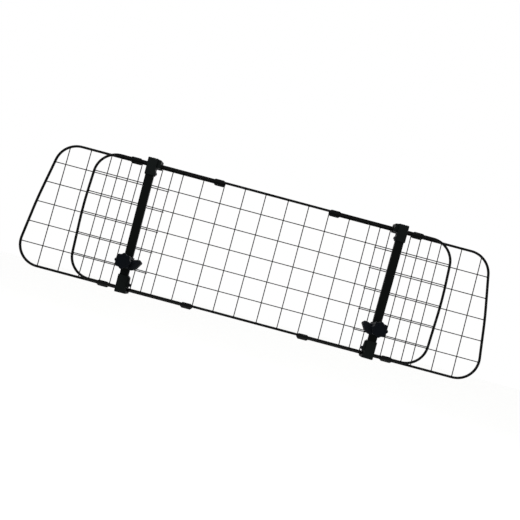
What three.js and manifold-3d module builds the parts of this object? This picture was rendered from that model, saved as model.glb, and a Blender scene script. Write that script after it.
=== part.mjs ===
// A wire-mesh dog guard that stands across a car behind the rear seats.
// A middle panel carries two side panels that draw out behind it, and two brackets on the
// viewer's side grip the headrest posts. Millimetres, +X along the guard, +Z up, viewer at -Y.

import * as THREE from "three";
import { mergeVertices } from "three/addons/utils/BufferGeometryUtils.js";
import Module from "manifold-3d";

const wasm = await Module();
wasm.setup();

// Wire, rod and the clearances that every piece shares
const MESH_PITCH = 50;
const MESH_ROWS = 6;
const WIRE_DIAMETER = 2.3;
const WIRE_BITE = 0.15;
const ROD_DIAMETER = 6;
const PIECE_GAP = 0.3;
const CUT_OVERRUN = 1;
const JOIN_OVERLAP = 1;
const CORNER_RADIUS = 53;
const BOW_RADIUS = 1000;

// Middle panel: rods from centre to centre, ends bowed outwards
const CENTER_WIRES_A_SIDE = 8;
const MIDDLE_CELL = 54.4;
const CENTER_END_MARGIN = 58.8;
const CENTER_CREST_HEIGHT = 15;
const CENTER_TOP_SETBACK = 4.7;
const CENTER_BOTTOM_SETBACK = 8.2;
const RIM_HALF_OVERLAP = 30;

// Side panels: they lie behind the middle one and a little lower
const PANEL_CLEARANCE = 0.4;
const SIDE_SHORTFALL = 0.8;
const SIDE_DROP = 3.8;
const SIDE_WIRE_COUNT = 6;
const SIDE_LAST_WIRE_FROM_MIDDLE = 253.5;
const SIDE_ARM_LENGTH = 121.5;
const SIDE_TOP_MARGIN = 18.2;
const SIDE_CREST_MARGIN = 43.4;
const SIDE_BOTTOM_MARGIN = 61;
const SIDE_CREST_HEIGHT = 4.7;

// Joining clips that hold a side rail beside a middle rail
const CLIP_LENGTH = 28;
const CLIP_FRONT_WALL = 1.4;
const CLIP_BACK_WALL = 2.8;
const CLIP_TAPER = 4;
const OUTER_CLIP_INSET = 34;
const INNER_CLIP_INSET = 9;
const CLIP_SLOT_CLEARANCE = 0.5;

// Bracket bar: a rectangular tube
const BRACKET_INSET = 78.3;
const BRACKET_LEAN_DEG = 1.02;
const BAR_WIDTH = 20;
const BAR_DEPTH = 10;
const BAR_WALL = 1.5;
const BAR_CORNER = 1.5;
const BAR_STANDOFF = 4;
const BAR_TOP_ROOM = 4.1;
const BAR_BOTTOM_ROOM = 5.5;

// Top and bottom hooks that go round the rails
const RAIL_CLEARANCE = 0.6;
const HOOK_FRONT_WALL = 2.7;
const HOOK_SIDE_WALL = 1.3;
const HOOK_LIP = 4;
const EAR_WIDTH = 7.7;
const EAR_DEPTH = 11.4;
const HOOK_CHAMFER = 3;
const TOP_SOCKET_LENGTH = 33.4;
const TOP_LIP_DROP = 13.4;
const TOP_ROOF = 8.025;
const TOP_EAR_ROOF = 6.2;
const TOP_SLOPE_START = 11;
const BOTTOM_SOCKET_LENGTH = 38;
const BOTTOM_LIP_RISE = 15;
const BOTTOM_FLOOR = 4;
const BOTTOM_FLANGE = 3.4;
const BOTTOM_FLANGE_HEIGHT = 7;
const BOSS_TOP_WIDTH = 3.7;
const BOSS_BOTTOM_WIDTH = 5.2;
const BOSS_BELOW_SCREW = 5.5;
const BOSS_DEPTH = 10;
const POCKET_END_GAP = 0.5;

// Screws in the hooks
const SCREW_SHANK_RADIUS = 2;
const SCREW_HEAD_RADIUS = 4;
const SCREW_HEAD_HEIGHT = 3.5;
const TOP_SCREW_ABOVE_SOCKET_END = 5.6;
const THUMB_SHANK_RADIUS = 2.5;
const THUMB_HEAD_RADIUS = 4;
const THUMB_HEAD_HEIGHT = 3;
const THUMB_ABOVE_LIP = 2.5;
const THUMB_FLUTE_DEPTH = 0.5;
const THUMB_FLUTES = 12;

// Slider on the bar and the bolt through it
const SLIDER_HEIGHT = 22;
const SLIDER_ABOVE_BOTTOM_HOOK = 31.7;
const SLIDER_SIDE_WALL = 2.7;
const SLIDER_BACK_WALL = 2.1;
const SLIDER_FRONT_WALL = 5.2;
const SLIDER_CORNER = 2.5;
const BOLT_RADIUS = 4;
const BOLT_HEAD_RADIUS = 7.5;
const BOLT_HEAD_HEIGHT = 2.7;
const BOLT_HOLE_CLEARANCE = 0.3;
const BOLT_END_ROOM = 5;

// Jaws that close on a headrest post, seen in their own frame with the groove upright
const JAW_THICKNESS = 6.5;
const JAW_OPENING = 5;
const JAW_SWIVEL_DEG = 40;
const JAW_HUB_RADIUS = 15;
const JAW_BOSS_RADIUS = 12;
const JAW_BOSS_HEIGHT = 1;
const GROOVE_CENTRE = 20;
const GROOVE_FLOOR_WIDTH = 6;
const GROOVE_MOUTH_WIDTH = 12;
const GROOVE_DEPTH = 3.5;
const CLAW_TOP = 27.5;
const CLAW_BOTTOM = -6.5;
const CLAW_REACH = 29;
const CLAW_WIDEST_HEIGHT = 9.2;
const CLAW_BEVEL = 2;
const CLAW_WEB_PLACE = 6;
const GUIDE_PEG_RADIUS = 1.8;
const GUIDE_PEG_CENTRE = 11.5;
const GUIDE_PEG_ENTRY = 4.5;

// Washer, nut and lobed knob
const WASHER_RADIUS = 8.5;
const WASHER_THICKNESS = 1.2;
const NUT_HEIGHT = 6;
const KNOB_RADIUS = 18.6;
const KNOB_LOBE_DEPTH = 1.3;
const KNOB_LOBES = 8;
const KNOB_BEVEL = 1.5;
const KNOB_THICKNESS = 12;
const KNOB_HUB_RADIUS = 9;
const KNOB_HUB_HEIGHT = 3;
const KNOB_FACE_WALL = 3;
const KNOB_DISH_RADIUS = 11;
const KNOB_DISH_DEPTH = 1;

// How finely round shapes are cut into flat faces
const ROD_SIDES = 12;
const WIRE_SIDES = 6;
const HEX_SIDES = 6;
const HOLE_SIDES = 16;
const ARC_STEP_DEG = 11.25;
const ARC_LEAST_STEPS = 4;
const SOFT_CORNER_STEPS = 3;
const KNOB_POINTS_A_LOBE = 8;
const KNOB_BEVEL_STEPS = 2;

// Places worked out from the sizes above
const rodRadius = ROD_DIAMETER / 2;
const wireRadius = WIRE_DIAMETER / 2;
const wireFlat = wireRadius * Math.cos(Math.PI / WIRE_SIDES);
const wireShift = wireFlat - WIRE_BITE / 2;
const rimInset = rodRadius + PIECE_GAP;
const centerHalfHeight = (MESH_ROWS * MESH_PITCH) / 2;
const centerLastWire = MIDDLE_CELL / 2 + (CENTER_WIRES_A_SIDE - 1) * MESH_PITCH;
const centerCrest = centerLastWire + CENTER_END_MARGIN;
const sideHeight = 2 * centerHalfHeight - SIDE_SHORTFALL;
const sideHalfHeight = sideHeight / 2;
const sideRowPitch = sideHeight / MESH_ROWS;
const sidePlane = ROD_DIAMETER + PANEL_CLEARANCE;
const sideOuterWire = SIDE_LAST_WIRE_FROM_MIDDLE + (SIDE_WIRE_COUNT - 1) * MESH_PITCH;
const sideArmEnd = SIDE_LAST_WIRE_FROM_MIDDLE - SIDE_ARM_LENGTH;
const sideTopRail = sideHalfHeight - SIDE_DROP;
const sideBottomRail = -sideHalfHeight - SIDE_DROP;
const outerClipPlace = centerLastWire - OUTER_CLIP_INSET;
const bracketPlace = centerLastWire - BRACKET_INSET;
const innerClipPlace = sideArmEnd + INNER_CLIP_INSET;

const barMiddle = -(rodRadius + BAR_STANDOFF + BAR_DEPTH / 2);
const barFront = barMiddle - BAR_DEPTH / 2;
const barBack = barMiddle + BAR_DEPTH / 2;
const hookFront = barFront - PIECE_GAP - HOOK_FRONT_WALL;
const hookBack = -(rodRadius + RAIL_CLEARANCE);
const lipFront = sidePlane + rodRadius + RAIL_CLEARANCE;
const lipBack = lipFront + HOOK_LIP;
const hookHalfWidth = BAR_WIDTH / 2 + PIECE_GAP + HOOK_SIDE_WALL;
const earEnd = hookHalfWidth + EAR_WIDTH;
const earFront = hookBack - EAR_DEPTH;
const roofUnder = centerHalfHeight + rodRadius + RAIL_CLEARANCE;
const floorTop = sideBottomRail - rodRadius - RAIL_CLEARANCE;
const topSocketEnd = roofUnder - TOP_SOCKET_LENGTH;
const bottomSocketEnd = floorTop + BOTTOM_SOCKET_LENGTH;
const screwHeight = topSocketEnd + TOP_SCREW_ABOVE_SOCKET_END;
const lipRise = floorTop + BOTTOM_LIP_RISE;
const thumbHeight = lipRise + THUMB_ABOVE_LIP;
const bossEnd = thumbHeight - BOSS_BELOW_SCREW;
const barTop = roofUnder - BAR_TOP_ROOM;
const barBottom = floorTop + BAR_BOTTOM_ROOM;
const sliderCentre = bottomSocketEnd + SLIDER_ABOVE_BOTTOM_HOOK;

const sliderFront = barFront - PIECE_GAP - SLIDER_FRONT_WALL;
const sliderBack = barBack + PIECE_GAP + SLIDER_BACK_WALL;
const boltHeadBack = barFront - 2 * PIECE_GAP;
const boltHeadFront = boltHeadBack - BOLT_HEAD_HEIGHT;
const innerJawBack = sliderFront - PIECE_GAP;
const innerJawFront = innerJawBack - JAW_THICKNESS;
const outerJawBack = innerJawFront - JAW_OPENING;
const outerJawFront = outerJawBack - JAW_THICKNESS;
const jawBossFront = outerJawFront - JAW_BOSS_HEIGHT;
const washerBack = jawBossFront - PIECE_GAP;
const washerFront = washerBack - WASHER_THICKNESS;
const knobBack = washerFront - PIECE_GAP;
const knobDiscBack = knobBack - KNOB_HUB_HEIGHT;
const knobFront = knobDiscBack - KNOB_THICKNESS;
const knobHoleEnd = knobFront + KNOB_FACE_WALL;
const boltEnd = knobHoleEnd + BOLT_END_ROOM;
const boltHole = BOLT_RADIUS + BOLT_HOLE_CLEARANCE;

const degrees = (value) => THREE.MathUtils.degToRad(value);

// Solids: a closed geometry becomes one, and a finished one becomes a geometry again
function solidOf(geometry) {
  const plain = geometry.index ? geometry.toNonIndexed() : geometry.clone();
  plain.deleteAttribute("normal");
  plain.deleteAttribute("uv");
  const merged = mergeVertices(plain);
  return new wasm.Manifold(
    new wasm.Mesh({
      numProp: 3,
      vertProperties: new Float32Array(merged.attributes.position.array),
      triVerts: new Uint32Array(merged.index.array),
    }),
  );
}

function geometryOf(solid) {
  const mesh = solid.getMesh();
  const geometry = new THREE.BufferGeometry();
  geometry.setAttribute("position", new THREE.BufferAttribute(new Float32Array(mesh.vertProperties), 3));
  geometry.setIndex(new THREE.BufferAttribute(new Uint32Array(mesh.triVerts), 1));
  geometry.computeVertexNormals();
  return geometry;
}

function joined(solids) {
  return solids.reduce((whole, next) => whole.add(next));
}

function cut(solid, cutters) {
  return cutters.reduce((left, cutter) => left.subtract(cutter), solid);
}

// Shapes with flat ends, each standing along one axis between two places
const alongX = new THREE.Matrix4().makeBasis(
  new THREE.Vector3(0, 1, 0),
  new THREE.Vector3(0, 0, 1),
  new THREE.Vector3(1, 0, 0),
);
const alongY = new THREE.Matrix4().makeBasis(
  new THREE.Vector3(1, 0, 0),
  new THREE.Vector3(0, 0, 1),
  new THREE.Vector3(0, -1, 0),
);

function shapeOf(points) {
  if (points instanceof THREE.Shape) {
    return points;
  }
  return new THREE.Shape(points.map(([u, v]) => new THREE.Vector2(u, v)));
}

function prism(outline, from, to) {
  const geometry = new THREE.ExtrudeGeometry(shapeOf(outline), {
    depth: Math.abs(to - from),
    bevelEnabled: false,
    curveSegments: SOFT_CORNER_STEPS,
  });
  return geometry.translate(0, 0, Math.min(from, to));
}

// Outline in y and z, standing along x
function prismX(outline, from, to) {
  return solidOf(prism(outline, from, to).applyMatrix4(alongX));
}

// Outline in x and z, standing along y
function prismY(outline, from, to) {
  return solidOf(prism(outline, -from, -to).applyMatrix4(alongY));
}

// Outline in x and y, standing along z
function prismZ(outline, from, to) {
  return solidOf(prism(outline, from, to));
}

function ring(radius, sides, turn = 0) {
  return Array.from({ length: sides }, (_, i) => {
    const angle = turn + (i / sides) * 2 * Math.PI;
    return [radius * Math.cos(angle), radius * Math.sin(angle)];
  });
}

function moved(points, u, v) {
  return points.map(([a, b]) => [a + u, b + v]);
}

function softRectangle(width, depth, corner) {
  const shape = new THREE.Shape();
  const x = width / 2 - corner;
  const y = depth / 2 - corner;
  shape.absarc(x, y, corner, 0, Math.PI / 2);
  shape.absarc(-x, y, corner, Math.PI / 2, Math.PI);
  shape.absarc(-x, -y, corner, Math.PI, (3 * Math.PI) / 2);
  shape.absarc(x, -y, corner, (3 * Math.PI) / 2, 2 * Math.PI);
  return shape;
}

// A bent rod's centre line in x and z: straight runs with an arc at each inner corner
function bentLine(corners) {
  const line = [];
  corners.forEach((corner, i) => {
    const here = new THREE.Vector2(corner.x, corner.z);
    if (!corner.radius) {
      line.push(here);
      return;
    }
    const before = new THREE.Vector2(corners[i - 1].x, corners[i - 1].z).sub(here).normalize();
    const after = new THREE.Vector2(corners[i + 1].x, corners[i + 1].z).sub(here).normalize();
    const turn = Math.PI - Math.acos(THREE.MathUtils.clamp(before.dot(after), -1, 1));
    const reach = corner.radius * Math.tan(turn / 2);
    const inward = before.clone().add(after).normalize();
    const centre = here.clone().addScaledVector(inward, corner.radius / Math.cos(turn / 2));
    const start = here.clone().addScaledVector(before, reach).sub(centre);
    const sense = Math.sign(before.cross(after)) * -1;
    const steps = Math.max(ARC_LEAST_STEPS, Math.round(turn / degrees(ARC_STEP_DEG)));
    for (let k = 0; k <= steps; k += 1) {
      line.push(start.clone().rotateAround(new THREE.Vector2(), (sense * turn * k) / steps).add(centre));
    }
  });
  return line;
}

// The direction at each point of a line, halfway between its two runs
function headings(line) {
  const runs = line.slice(1).map((point, i) => point.clone().sub(line[i]).normalize());
  return line.map((_, i) => {
    const before = runs[Math.max(0, i - 1)];
    const after = runs[Math.min(runs.length - 1, i)];
    return before.clone().add(after).normalize();
  });
}

// A curve that spends one step on each run of its line, so straight runs stay whole
class RodLine extends THREE.Curve {
  constructor(line, plane) {
    super();
    this.places = line.map((point) => new THREE.Vector3(point.x, plane, point.y));
    this.ways = headings(line).map((way) => new THREE.Vector3(way.x, 0, way.y));
  }

  step(u) {
    return Math.min(this.places.length - 1, Math.round(u * (this.places.length - 1)));
  }

  getPoint(u, target = new THREE.Vector3()) {
    return target.copy(this.places[this.step(u)]);
  }

  getPointAt(u, target) {
    return this.getPoint(u, target);
  }

  getTangentAt(u, target = new THREE.Vector3()) {
    return target.copy(this.ways[this.step(u)]);
  }
}

function bentRod(line, plane) {
  return solidOf(
    new THREE.ExtrudeGeometry(shapeOf(ring(rodRadius, ROD_SIDES)), {
      steps: line.length - 1,
      extrudePath: new RodLine(line, plane),
    }),
  );
}

// The same line moved sideways, to the right of its direction for a positive inset
function inset(line, distance) {
  const ways = headings(line);
  return line.map((point, i) => [point.x + ways[i].y * distance, point.y - ways[i].x * distance]);
}

// Welded wire: upright wires on the viewer's side, level ones behind, sunk a little into each other
function wire(length, upright) {
  const geometry = new THREE.CylinderGeometry(
    wireRadius,
    wireRadius,
    length,
    WIRE_SIDES,
    1,
    false,
    Math.PI / WIRE_SIDES,
  );
  return upright ? geometry.rotateX(Math.PI / 2) : geometry.rotateX(Math.PI / 2).rotateY(Math.PI / 2);
}

function wireGrid(uprights, levels, plane, reach, height) {
  const stand = uprights.map((x) => solidOf(wire(height, true).translate(x, plane - wireShift, 0)));
  const lie = levels.map((z) =>
    solidOf(wire(reach[1] - reach[0], false).translate((reach[0] + reach[1]) / 2, plane + wireShift, z)),
  );
  return joined([...stand, ...lie]);
}

function rows(pitch, middle) {
  return Array.from({ length: MESH_ROWS - 1 }, (_, i) => middle + (i + 1 - MESH_ROWS / 2) * pitch);
}

// Finishes
const finishes = {
  coated: { color: 0x17181a, roughness: 0.45, metalness: 0.3 },
  moulded: { color: 0x141619, roughness: 0.62, metalness: 0 },
  plated: { color: 0x6f7276, roughness: 0.35, metalness: 0.9 },
};

function piece(name, solid, finish) {
  const mesh = new THREE.Mesh(geometryOf(solid), new THREE.MeshStandardMaterial(finishes[finish]));
  mesh.name = name;
  return mesh;
}

// Middle panel
function centerHalfLine(side) {
  return bentLine([
    { x: side * -RIM_HALF_OVERLAP, z: centerHalfHeight },
    { x: side * (centerCrest - CENTER_TOP_SETBACK), z: centerHalfHeight, radius: CORNER_RADIUS },
    { x: side * centerCrest, z: CENTER_CREST_HEIGHT, radius: BOW_RADIUS },
    { x: side * (centerCrest - CENTER_BOTTOM_SETBACK), z: -centerHalfHeight, radius: CORNER_RADIUS },
    { x: side * -RIM_HALF_OVERLAP, z: -centerHalfHeight },
  ]);
}

function centerPanel() {
  const panel = new THREE.Group();
  const right = centerHalfLine(1);
  const left = centerHalfLine(-1);
  panel.add(piece("center_rim", joined([bentRod(right, 0), bentRod(left, 0)]), "coated"));

  const places = Array.from({ length: CENTER_WIRES_A_SIDE }, (_, i) => MIDDLE_CELL / 2 + i * MESH_PITCH);
  const uprights = [...places.map((x) => -x), ...places];
  const grid = wireGrid(
    uprights,
    rows(MESH_PITCH, 0),
    0,
    [-centerCrest, centerCrest],
    2 * centerHalfHeight,
  );
  const rightHalf = prismY(inset(right, rimInset), -rodRadius, rodRadius);
  const leftHalf = prismY(inset(left, -rimInset), -rodRadius, rodRadius);
  panel.add(piece("center_mesh", grid.intersect(rightHalf.add(leftHalf)), "coated"));
  return panel;
}

// A clip round a middle rail and a side rail, open below each for the wires that end there.
// Inwards is -1 where the panel lies below the rail, and 1 where it lies above.
function clip(place, inwards) {
  const middleRail = -inwards * centerHalfHeight;
  const sideRail = inwards < 0 ? sideTopRail : sideBottomRail;
  const frontReach = rodRadius + PIECE_GAP + CLIP_FRONT_WALL;
  const backReach = rodRadius + PIECE_GAP + CLIP_BACK_WALL;
  const half = CLIP_LENGTH / 2;
  const body = wasm.Manifold.hull([
    prismX(moved(ring(frontReach, 2 * HOLE_SIDES), 0, middleRail), place - half, place + half),
    prismX(moved(ring(backReach, 2 * HOLE_SIDES), sidePlane, sideRail), place - half, place + half),
  ]);
  const top = Math.max(middleRail + frontReach, sideRail + backReach);
  const bottom = Math.min(middleRail - frontReach, sideRail - backReach);
  const taper = prismY(
    [
      [place - half, bottom + CLIP_TAPER],
      [place - half + CLIP_TAPER, bottom],
      [place + half - CLIP_TAPER, bottom],
      [place + half, bottom + CLIP_TAPER],
      [place + half, top - CLIP_TAPER],
      [place + half - CLIP_TAPER, top],
      [place - half + CLIP_TAPER, top],
      [place - half, top - CLIP_TAPER],
    ],
    -frontReach - CUT_OVERRUN,
    sidePlane + backReach + CUT_OVERRUN,
  );
  const bore = ring(rodRadius + PIECE_GAP, HOLE_SIDES);
  const slotHalf = wireRadius + CLIP_SLOT_CLEARANCE;
  const slotEnd = inwards < 0 ? bottom - CUT_OVERRUN : top + CUT_OVERRUN;
  const cutters = [
    [0, middleRail],
    [sidePlane, sideRail],
  ].flatMap(([y, z]) => [
    prismX(moved(bore, y, z), place - half - CUT_OVERRUN, place + half + CUT_OVERRUN),
    prismX(
      [
        [y - wireShift - slotHalf, Math.min(z, slotEnd)],
        [y - wireShift + slotHalf, Math.min(z, slotEnd)],
        [y - wireShift + slotHalf, Math.max(z, slotEnd)],
        [y - wireShift - slotHalf, Math.max(z, slotEnd)],
      ],
      place - half - CUT_OVERRUN,
      place + half + CUT_OVERRUN,
    ),
  ]);
  return cut(body.intersect(taper), cutters);
}

// Side panel: one bent rod with two long arms, and its wires
function sidePanel(name, side) {
  const panel = new THREE.Group();
  const line = bentLine([
    { x: side * sideArmEnd, z: sideTopRail },
    { x: side * (sideOuterWire + SIDE_TOP_MARGIN), z: sideTopRail, radius: CORNER_RADIUS },
    { x: side * (sideOuterWire + SIDE_CREST_MARGIN), z: SIDE_CREST_HEIGHT - SIDE_DROP, radius: BOW_RADIUS },
    { x: side * (sideOuterWire + SIDE_BOTTOM_MARGIN), z: sideBottomRail, radius: CORNER_RADIUS },
    { x: side * sideArmEnd, z: sideBottomRail },
  ]);
  panel.add(piece(`${name}_panel_rim`, bentRod(line, sidePlane), "coated"));

  const uprights = Array.from(
    { length: SIDE_WIRE_COUNT },
    (_, i) => side * (SIDE_LAST_WIRE_FROM_MIDDLE + i * MESH_PITCH),
  );
  const ends = [
    side * (SIDE_LAST_WIRE_FROM_MIDDLE - WIRE_DIAMETER),
    side * (sideOuterWire + SIDE_BOTTOM_MARGIN),
  ];
  const grid = wireGrid(
    uprights,
    rows(sideRowPitch, -SIDE_DROP),
    sidePlane,
    [Math.min(...ends), Math.max(...ends)],
    2 * (sideHalfHeight + SIDE_DROP),
  );
  const inside = prismY(inset(line, side * rimInset), sidePlane - rodRadius, sidePlane + rodRadius);
  panel.add(piece(`${name}_panel_mesh`, grid.intersect(inside), "coated"));

  panel.add(piece(`${name}_inner_clip_top`, clip(side * innerClipPlace, -1), "moulded"));
  panel.add(piece(`${name}_inner_clip_bottom`, clip(side * innerClipPlace, 1), "moulded"));
  return panel;
}

// Bracket pieces are drawn about the bar's centre line; side is -1 where the middle lies at +X
function span(side, from, to) {
  return side < 0 ? [from, to] : [-to, -from];
}

function bar(side) {
  const outer = prismZ(softRectangle(BAR_WIDTH, BAR_DEPTH, BAR_CORNER), barBottom, barTop);
  const bore = prismZ(
    softRectangle(BAR_WIDTH - 2 * BAR_WALL, BAR_DEPTH - 2 * BAR_WALL, BAR_CORNER / 2),
    barBottom - CUT_OVERRUN,
    barTop + CUT_OVERRUN,
  );
  const screwHole = prismX(
    moved(ring(SCREW_SHANK_RADIUS + PIECE_GAP, HOLE_SIDES), 0, screwHeight),
    ...span(side, 0, BAR_WIDTH),
  );
  return cut(outer, [bore, screwHole]).translate([0, barMiddle, 0]);
}

function barPocket(from, to) {
  return prismZ(
    softRectangle(BAR_WIDTH + 2 * PIECE_GAP, BAR_DEPTH + 2 * PIECE_GAP, BAR_CORNER),
    from,
    to,
  ).translate([0, barMiddle, 0]);
}

function topHook(side) {
  const roofTop = roofUnder + TOP_ROOF;
  const earTop = roofUnder + TOP_EAR_ROOF;
  const lipEnd = roofUnder - TOP_LIP_DROP;
  const main = prismX(
    [
      [hookFront, topSocketEnd],
      [hookBack, topSocketEnd],
      [hookBack, roofUnder],
      [lipFront, roofUnder],
      [lipFront, lipEnd],
      [lipBack, lipEnd],
      [lipBack, roofTop - HOOK_CHAMFER],
      [lipBack - HOOK_CHAMFER, roofTop],
      [hookFront + HOOK_CHAMFER, roofTop],
      [hookFront, roofTop - HOOK_CHAMFER],
    ],
    ...span(side, -hookHalfWidth, hookHalfWidth),
  );
  const ear = prismX(
    [
      [earFront, lipEnd],
      [hookBack, lipEnd],
      [hookBack, roofUnder],
      [lipFront, roofUnder],
      [lipFront, lipEnd],
      [lipBack, lipEnd],
      [lipBack, roofTop - HOOK_CHAMFER],
      [lipBack - HOOK_CHAMFER, roofTop],
      [earFront + HOOK_CHAMFER, roofTop],
      [earFront, roofTop - HOOK_CHAMFER],
    ],
    ...span(side, hookHalfWidth - JOIN_OVERLAP, earEnd),
  );
  const slope = prismY(
    [
      [TOP_SLOPE_START, roofTop],
      [earEnd, earTop],
      [earEnd + CUT_OVERRUN, earTop],
      [earEnd + CUT_OVERRUN, roofTop + CUT_OVERRUN],
      [TOP_SLOPE_START, roofTop + CUT_OVERRUN],
    ].map(([x, z]) => [-side * x, z]),
    hookFront - CUT_OVERRUN,
    lipBack + CUT_OVERRUN,
  );
  const screwHole = prismX(
    moved(ring(SCREW_SHANK_RADIUS + PIECE_GAP, HOLE_SIDES), barMiddle, screwHeight),
    ...span(side, 0, hookHalfWidth + CUT_OVERRUN),
  );
  const pocket = barPocket(topSocketEnd - CUT_OVERRUN, barTop + POCKET_END_GAP);
  return cut(main.add(ear), [pocket, screwHole, slope]);
}

function bottomHook(side) {
  const floorEnd = floorTop - BOTTOM_FLOOR;
  const main = prismX(
    [
      [hookFront, bottomSocketEnd],
      [hookFront, floorEnd + HOOK_CHAMFER],
      [hookFront + HOOK_CHAMFER, floorEnd],
      [lipBack - HOOK_CHAMFER, floorEnd],
      [lipBack, floorEnd + HOOK_CHAMFER],
      [lipBack, lipRise],
      [lipFront, lipRise],
      [lipFront, floorTop],
      [hookBack, floorTop],
      [hookBack, bottomSocketEnd],
    ],
    ...span(side, -hookHalfWidth, hookHalfWidth),
  );
  const flangeTop = floorEnd + BOTTOM_FLANGE_HEIGHT;
  const innerRoot = hookHalfWidth - JOIN_OVERLAP;
  const flange = prismX(
    [
      [hookFront, flangeTop],
      [hookFront, floorEnd + HOOK_CHAMFER],
      [hookFront + HOOK_CHAMFER, floorEnd],
      [lipBack - HOOK_CHAMFER, floorEnd],
      [lipBack, floorEnd + HOOK_CHAMFER],
      [lipBack, flangeTop],
      [lipFront, flangeTop],
      [lipFront, floorTop],
      [hookBack, floorTop],
      [hookBack, flangeTop],
    ],
    ...span(side, innerRoot, hookHalfWidth + BOTTOM_FLANGE),
  );
  const boss = prismY(
    [
      [innerRoot, bottomSocketEnd],
      [hookHalfWidth + BOSS_TOP_WIDTH, bottomSocketEnd - HOOK_CHAMFER],
      [hookHalfWidth + BOSS_BOTTOM_WIDTH, thumbHeight],
      [hookHalfWidth + BOSS_BOTTOM_WIDTH, bossEnd],
      [innerRoot, bossEnd],
    ].map(([x, z]) => [-side * x, z]),
    barMiddle - BOSS_DEPTH / 2,
    barMiddle + BOSS_DEPTH / 2,
  );
  const thumbHole = prismX(
    moved(ring(THUMB_SHANK_RADIUS + PIECE_GAP, HOLE_SIDES), barMiddle, thumbHeight),
    ...span(side, 0, hookHalfWidth + BOSS_BOTTOM_WIDTH + CUT_OVERRUN),
  );
  const pocket = barPocket(barBottom - POCKET_END_GAP, bottomSocketEnd + CUT_OVERRUN);
  return cut(joined([main, flange, boss]), [pocket, thumbHole]);
}

// Socket-head screw through the hook's side wall into the bar
function topScrew(side) {
  const seat = hookHalfWidth + PIECE_GAP;
  const tip = BAR_WIDTH / 2 - BAR_WALL - PIECE_GAP;
  const head = new THREE.LatheGeometry(
    [
      new THREE.Vector2(0, 0),
      new THREE.Vector2(SCREW_HEAD_RADIUS, 0),
      new THREE.Vector2(SCREW_HEAD_RADIUS, SCREW_HEAD_HEIGHT / 2),
      new THREE.Vector2(SCREW_HEAD_RADIUS / 2, SCREW_HEAD_HEIGHT),
      new THREE.Vector2(0, SCREW_HEAD_HEIGHT),
    ],
    HOLE_SIDES,
  );
  head.rotateZ((side * Math.PI) / 2).translate(-side * seat, barMiddle, screwHeight);
  const shank = prismX(
    moved(ring(SCREW_SHANK_RADIUS, ROD_SIDES), barMiddle, screwHeight),
    ...span(side, tip, seat + SCREW_HEAD_HEIGHT / 2),
  );
  const drive = prismX(
    moved(ring(SCREW_SHANK_RADIUS, HEX_SIDES), barMiddle, screwHeight),
    ...span(side, seat + SCREW_HEAD_HEIGHT / 2, seat + SCREW_HEAD_HEIGHT + CUT_OVERRUN),
  );
  return solidOf(head).add(shank).subtract(drive);
}

// Fluted screw that locks the bottom hook on the bar
function thumbScrew(side) {
  const seat = hookHalfWidth + BOSS_BOTTOM_WIDTH + PIECE_GAP;
  const flutes = Array.from({ length: 2 * THUMB_FLUTES }, (_, i) => {
    const radius = THUMB_HEAD_RADIUS - (i % 2) * THUMB_FLUTE_DEPTH;
    const angle = (i / THUMB_FLUTES) * Math.PI;
    return [radius * Math.cos(angle), radius * Math.sin(angle)];
  });
  const head = prismX(moved(flutes, barMiddle, thumbHeight), ...span(side, seat, seat + THUMB_HEAD_HEIGHT));
  const shank = prismX(
    moved(ring(THUMB_SHANK_RADIUS, ROD_SIDES), barMiddle, thumbHeight),
    ...span(side, BAR_WIDTH / 2 + PIECE_GAP, seat + THUMB_HEAD_HEIGHT / 2),
  );
  return head.add(shank);
}

function slider() {
  const depth = sliderBack - sliderFront;
  const half = SLIDER_HEIGHT / 2;
  const body = prismZ(
    softRectangle(BAR_WIDTH + 2 * (PIECE_GAP + SLIDER_SIDE_WALL), depth, SLIDER_CORNER),
    -half,
    half,
  ).translate([0, sliderFront + depth / 2, 0]);
  const headRoom = prismY(
    ring(BOLT_HEAD_RADIUS + PIECE_GAP, HEX_SIDES),
    boltHeadFront - PIECE_GAP,
    barFront,
  );
  const hole = prismY(ring(boltHole, HOLE_SIDES), sliderFront - CUT_OVERRUN, barFront);
  const pocket = barPocket(-half - CUT_OVERRUN, half + CUT_OVERRUN);
  return cut(body, [pocket, headRoom, hole]);
}

function bolt() {
  const head = prismY(ring(BOLT_HEAD_RADIUS, HEX_SIDES), boltHeadFront, boltHeadBack);
  const shank = prismY(ring(BOLT_RADIUS, HOLE_SIDES), boltEnd, boltHeadFront + BOLT_HEAD_HEIGHT / 2);
  return head.add(shank);
}

// Outline of a jaw: a round hub and a claw beside it that lies along the post
function jawOutline(side) {
  const claw = [
    [0, 0],
    [CLAW_WEB_PLACE, JAW_HUB_RADIUS - CLAW_BEVEL],
    [JAW_HUB_RADIUS, CLAW_TOP - CLAW_BEVEL],
    [JAW_HUB_RADIUS + CLAW_BEVEL, CLAW_TOP],
    [CLAW_REACH - 2 * CLAW_BEVEL, CLAW_TOP],
    [CLAW_REACH - CLAW_BEVEL, CLAW_TOP - CLAW_BEVEL],
    [CLAW_REACH, CLAW_WIDEST_HEIGHT],
    [CLAW_REACH - 2 * CLAW_BEVEL, -CLAW_BEVEL],
    [JAW_HUB_RADIUS + CLAW_BEVEL, CLAW_BOTTOM],
    [CLAW_WEB_PLACE, CLAW_BEVEL - JAW_HUB_RADIUS],
  ];
  return claw.map(([x, z]) => [-side * x, z]);
}

function groove(side, floor, face) {
  const mouth = GROOVE_MOUTH_WIDTH / 2;
  const bed = GROOVE_FLOOR_WIDTH / 2;
  const past = face + Math.sign(face - floor) * CUT_OVERRUN;
  const centre = -side * GROOVE_CENTRE;
  return prismZ(
    [
      [centre - bed, floor],
      [centre + bed, floor],
      [centre + mouth, face],
      [centre + mouth, past],
      [centre - mouth, past],
      [centre - mouth, face],
    ],
    CLAW_BOTTOM - JAW_HUB_RADIUS,
    CLAW_TOP + CUT_OVERRUN,
  );
}

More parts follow.
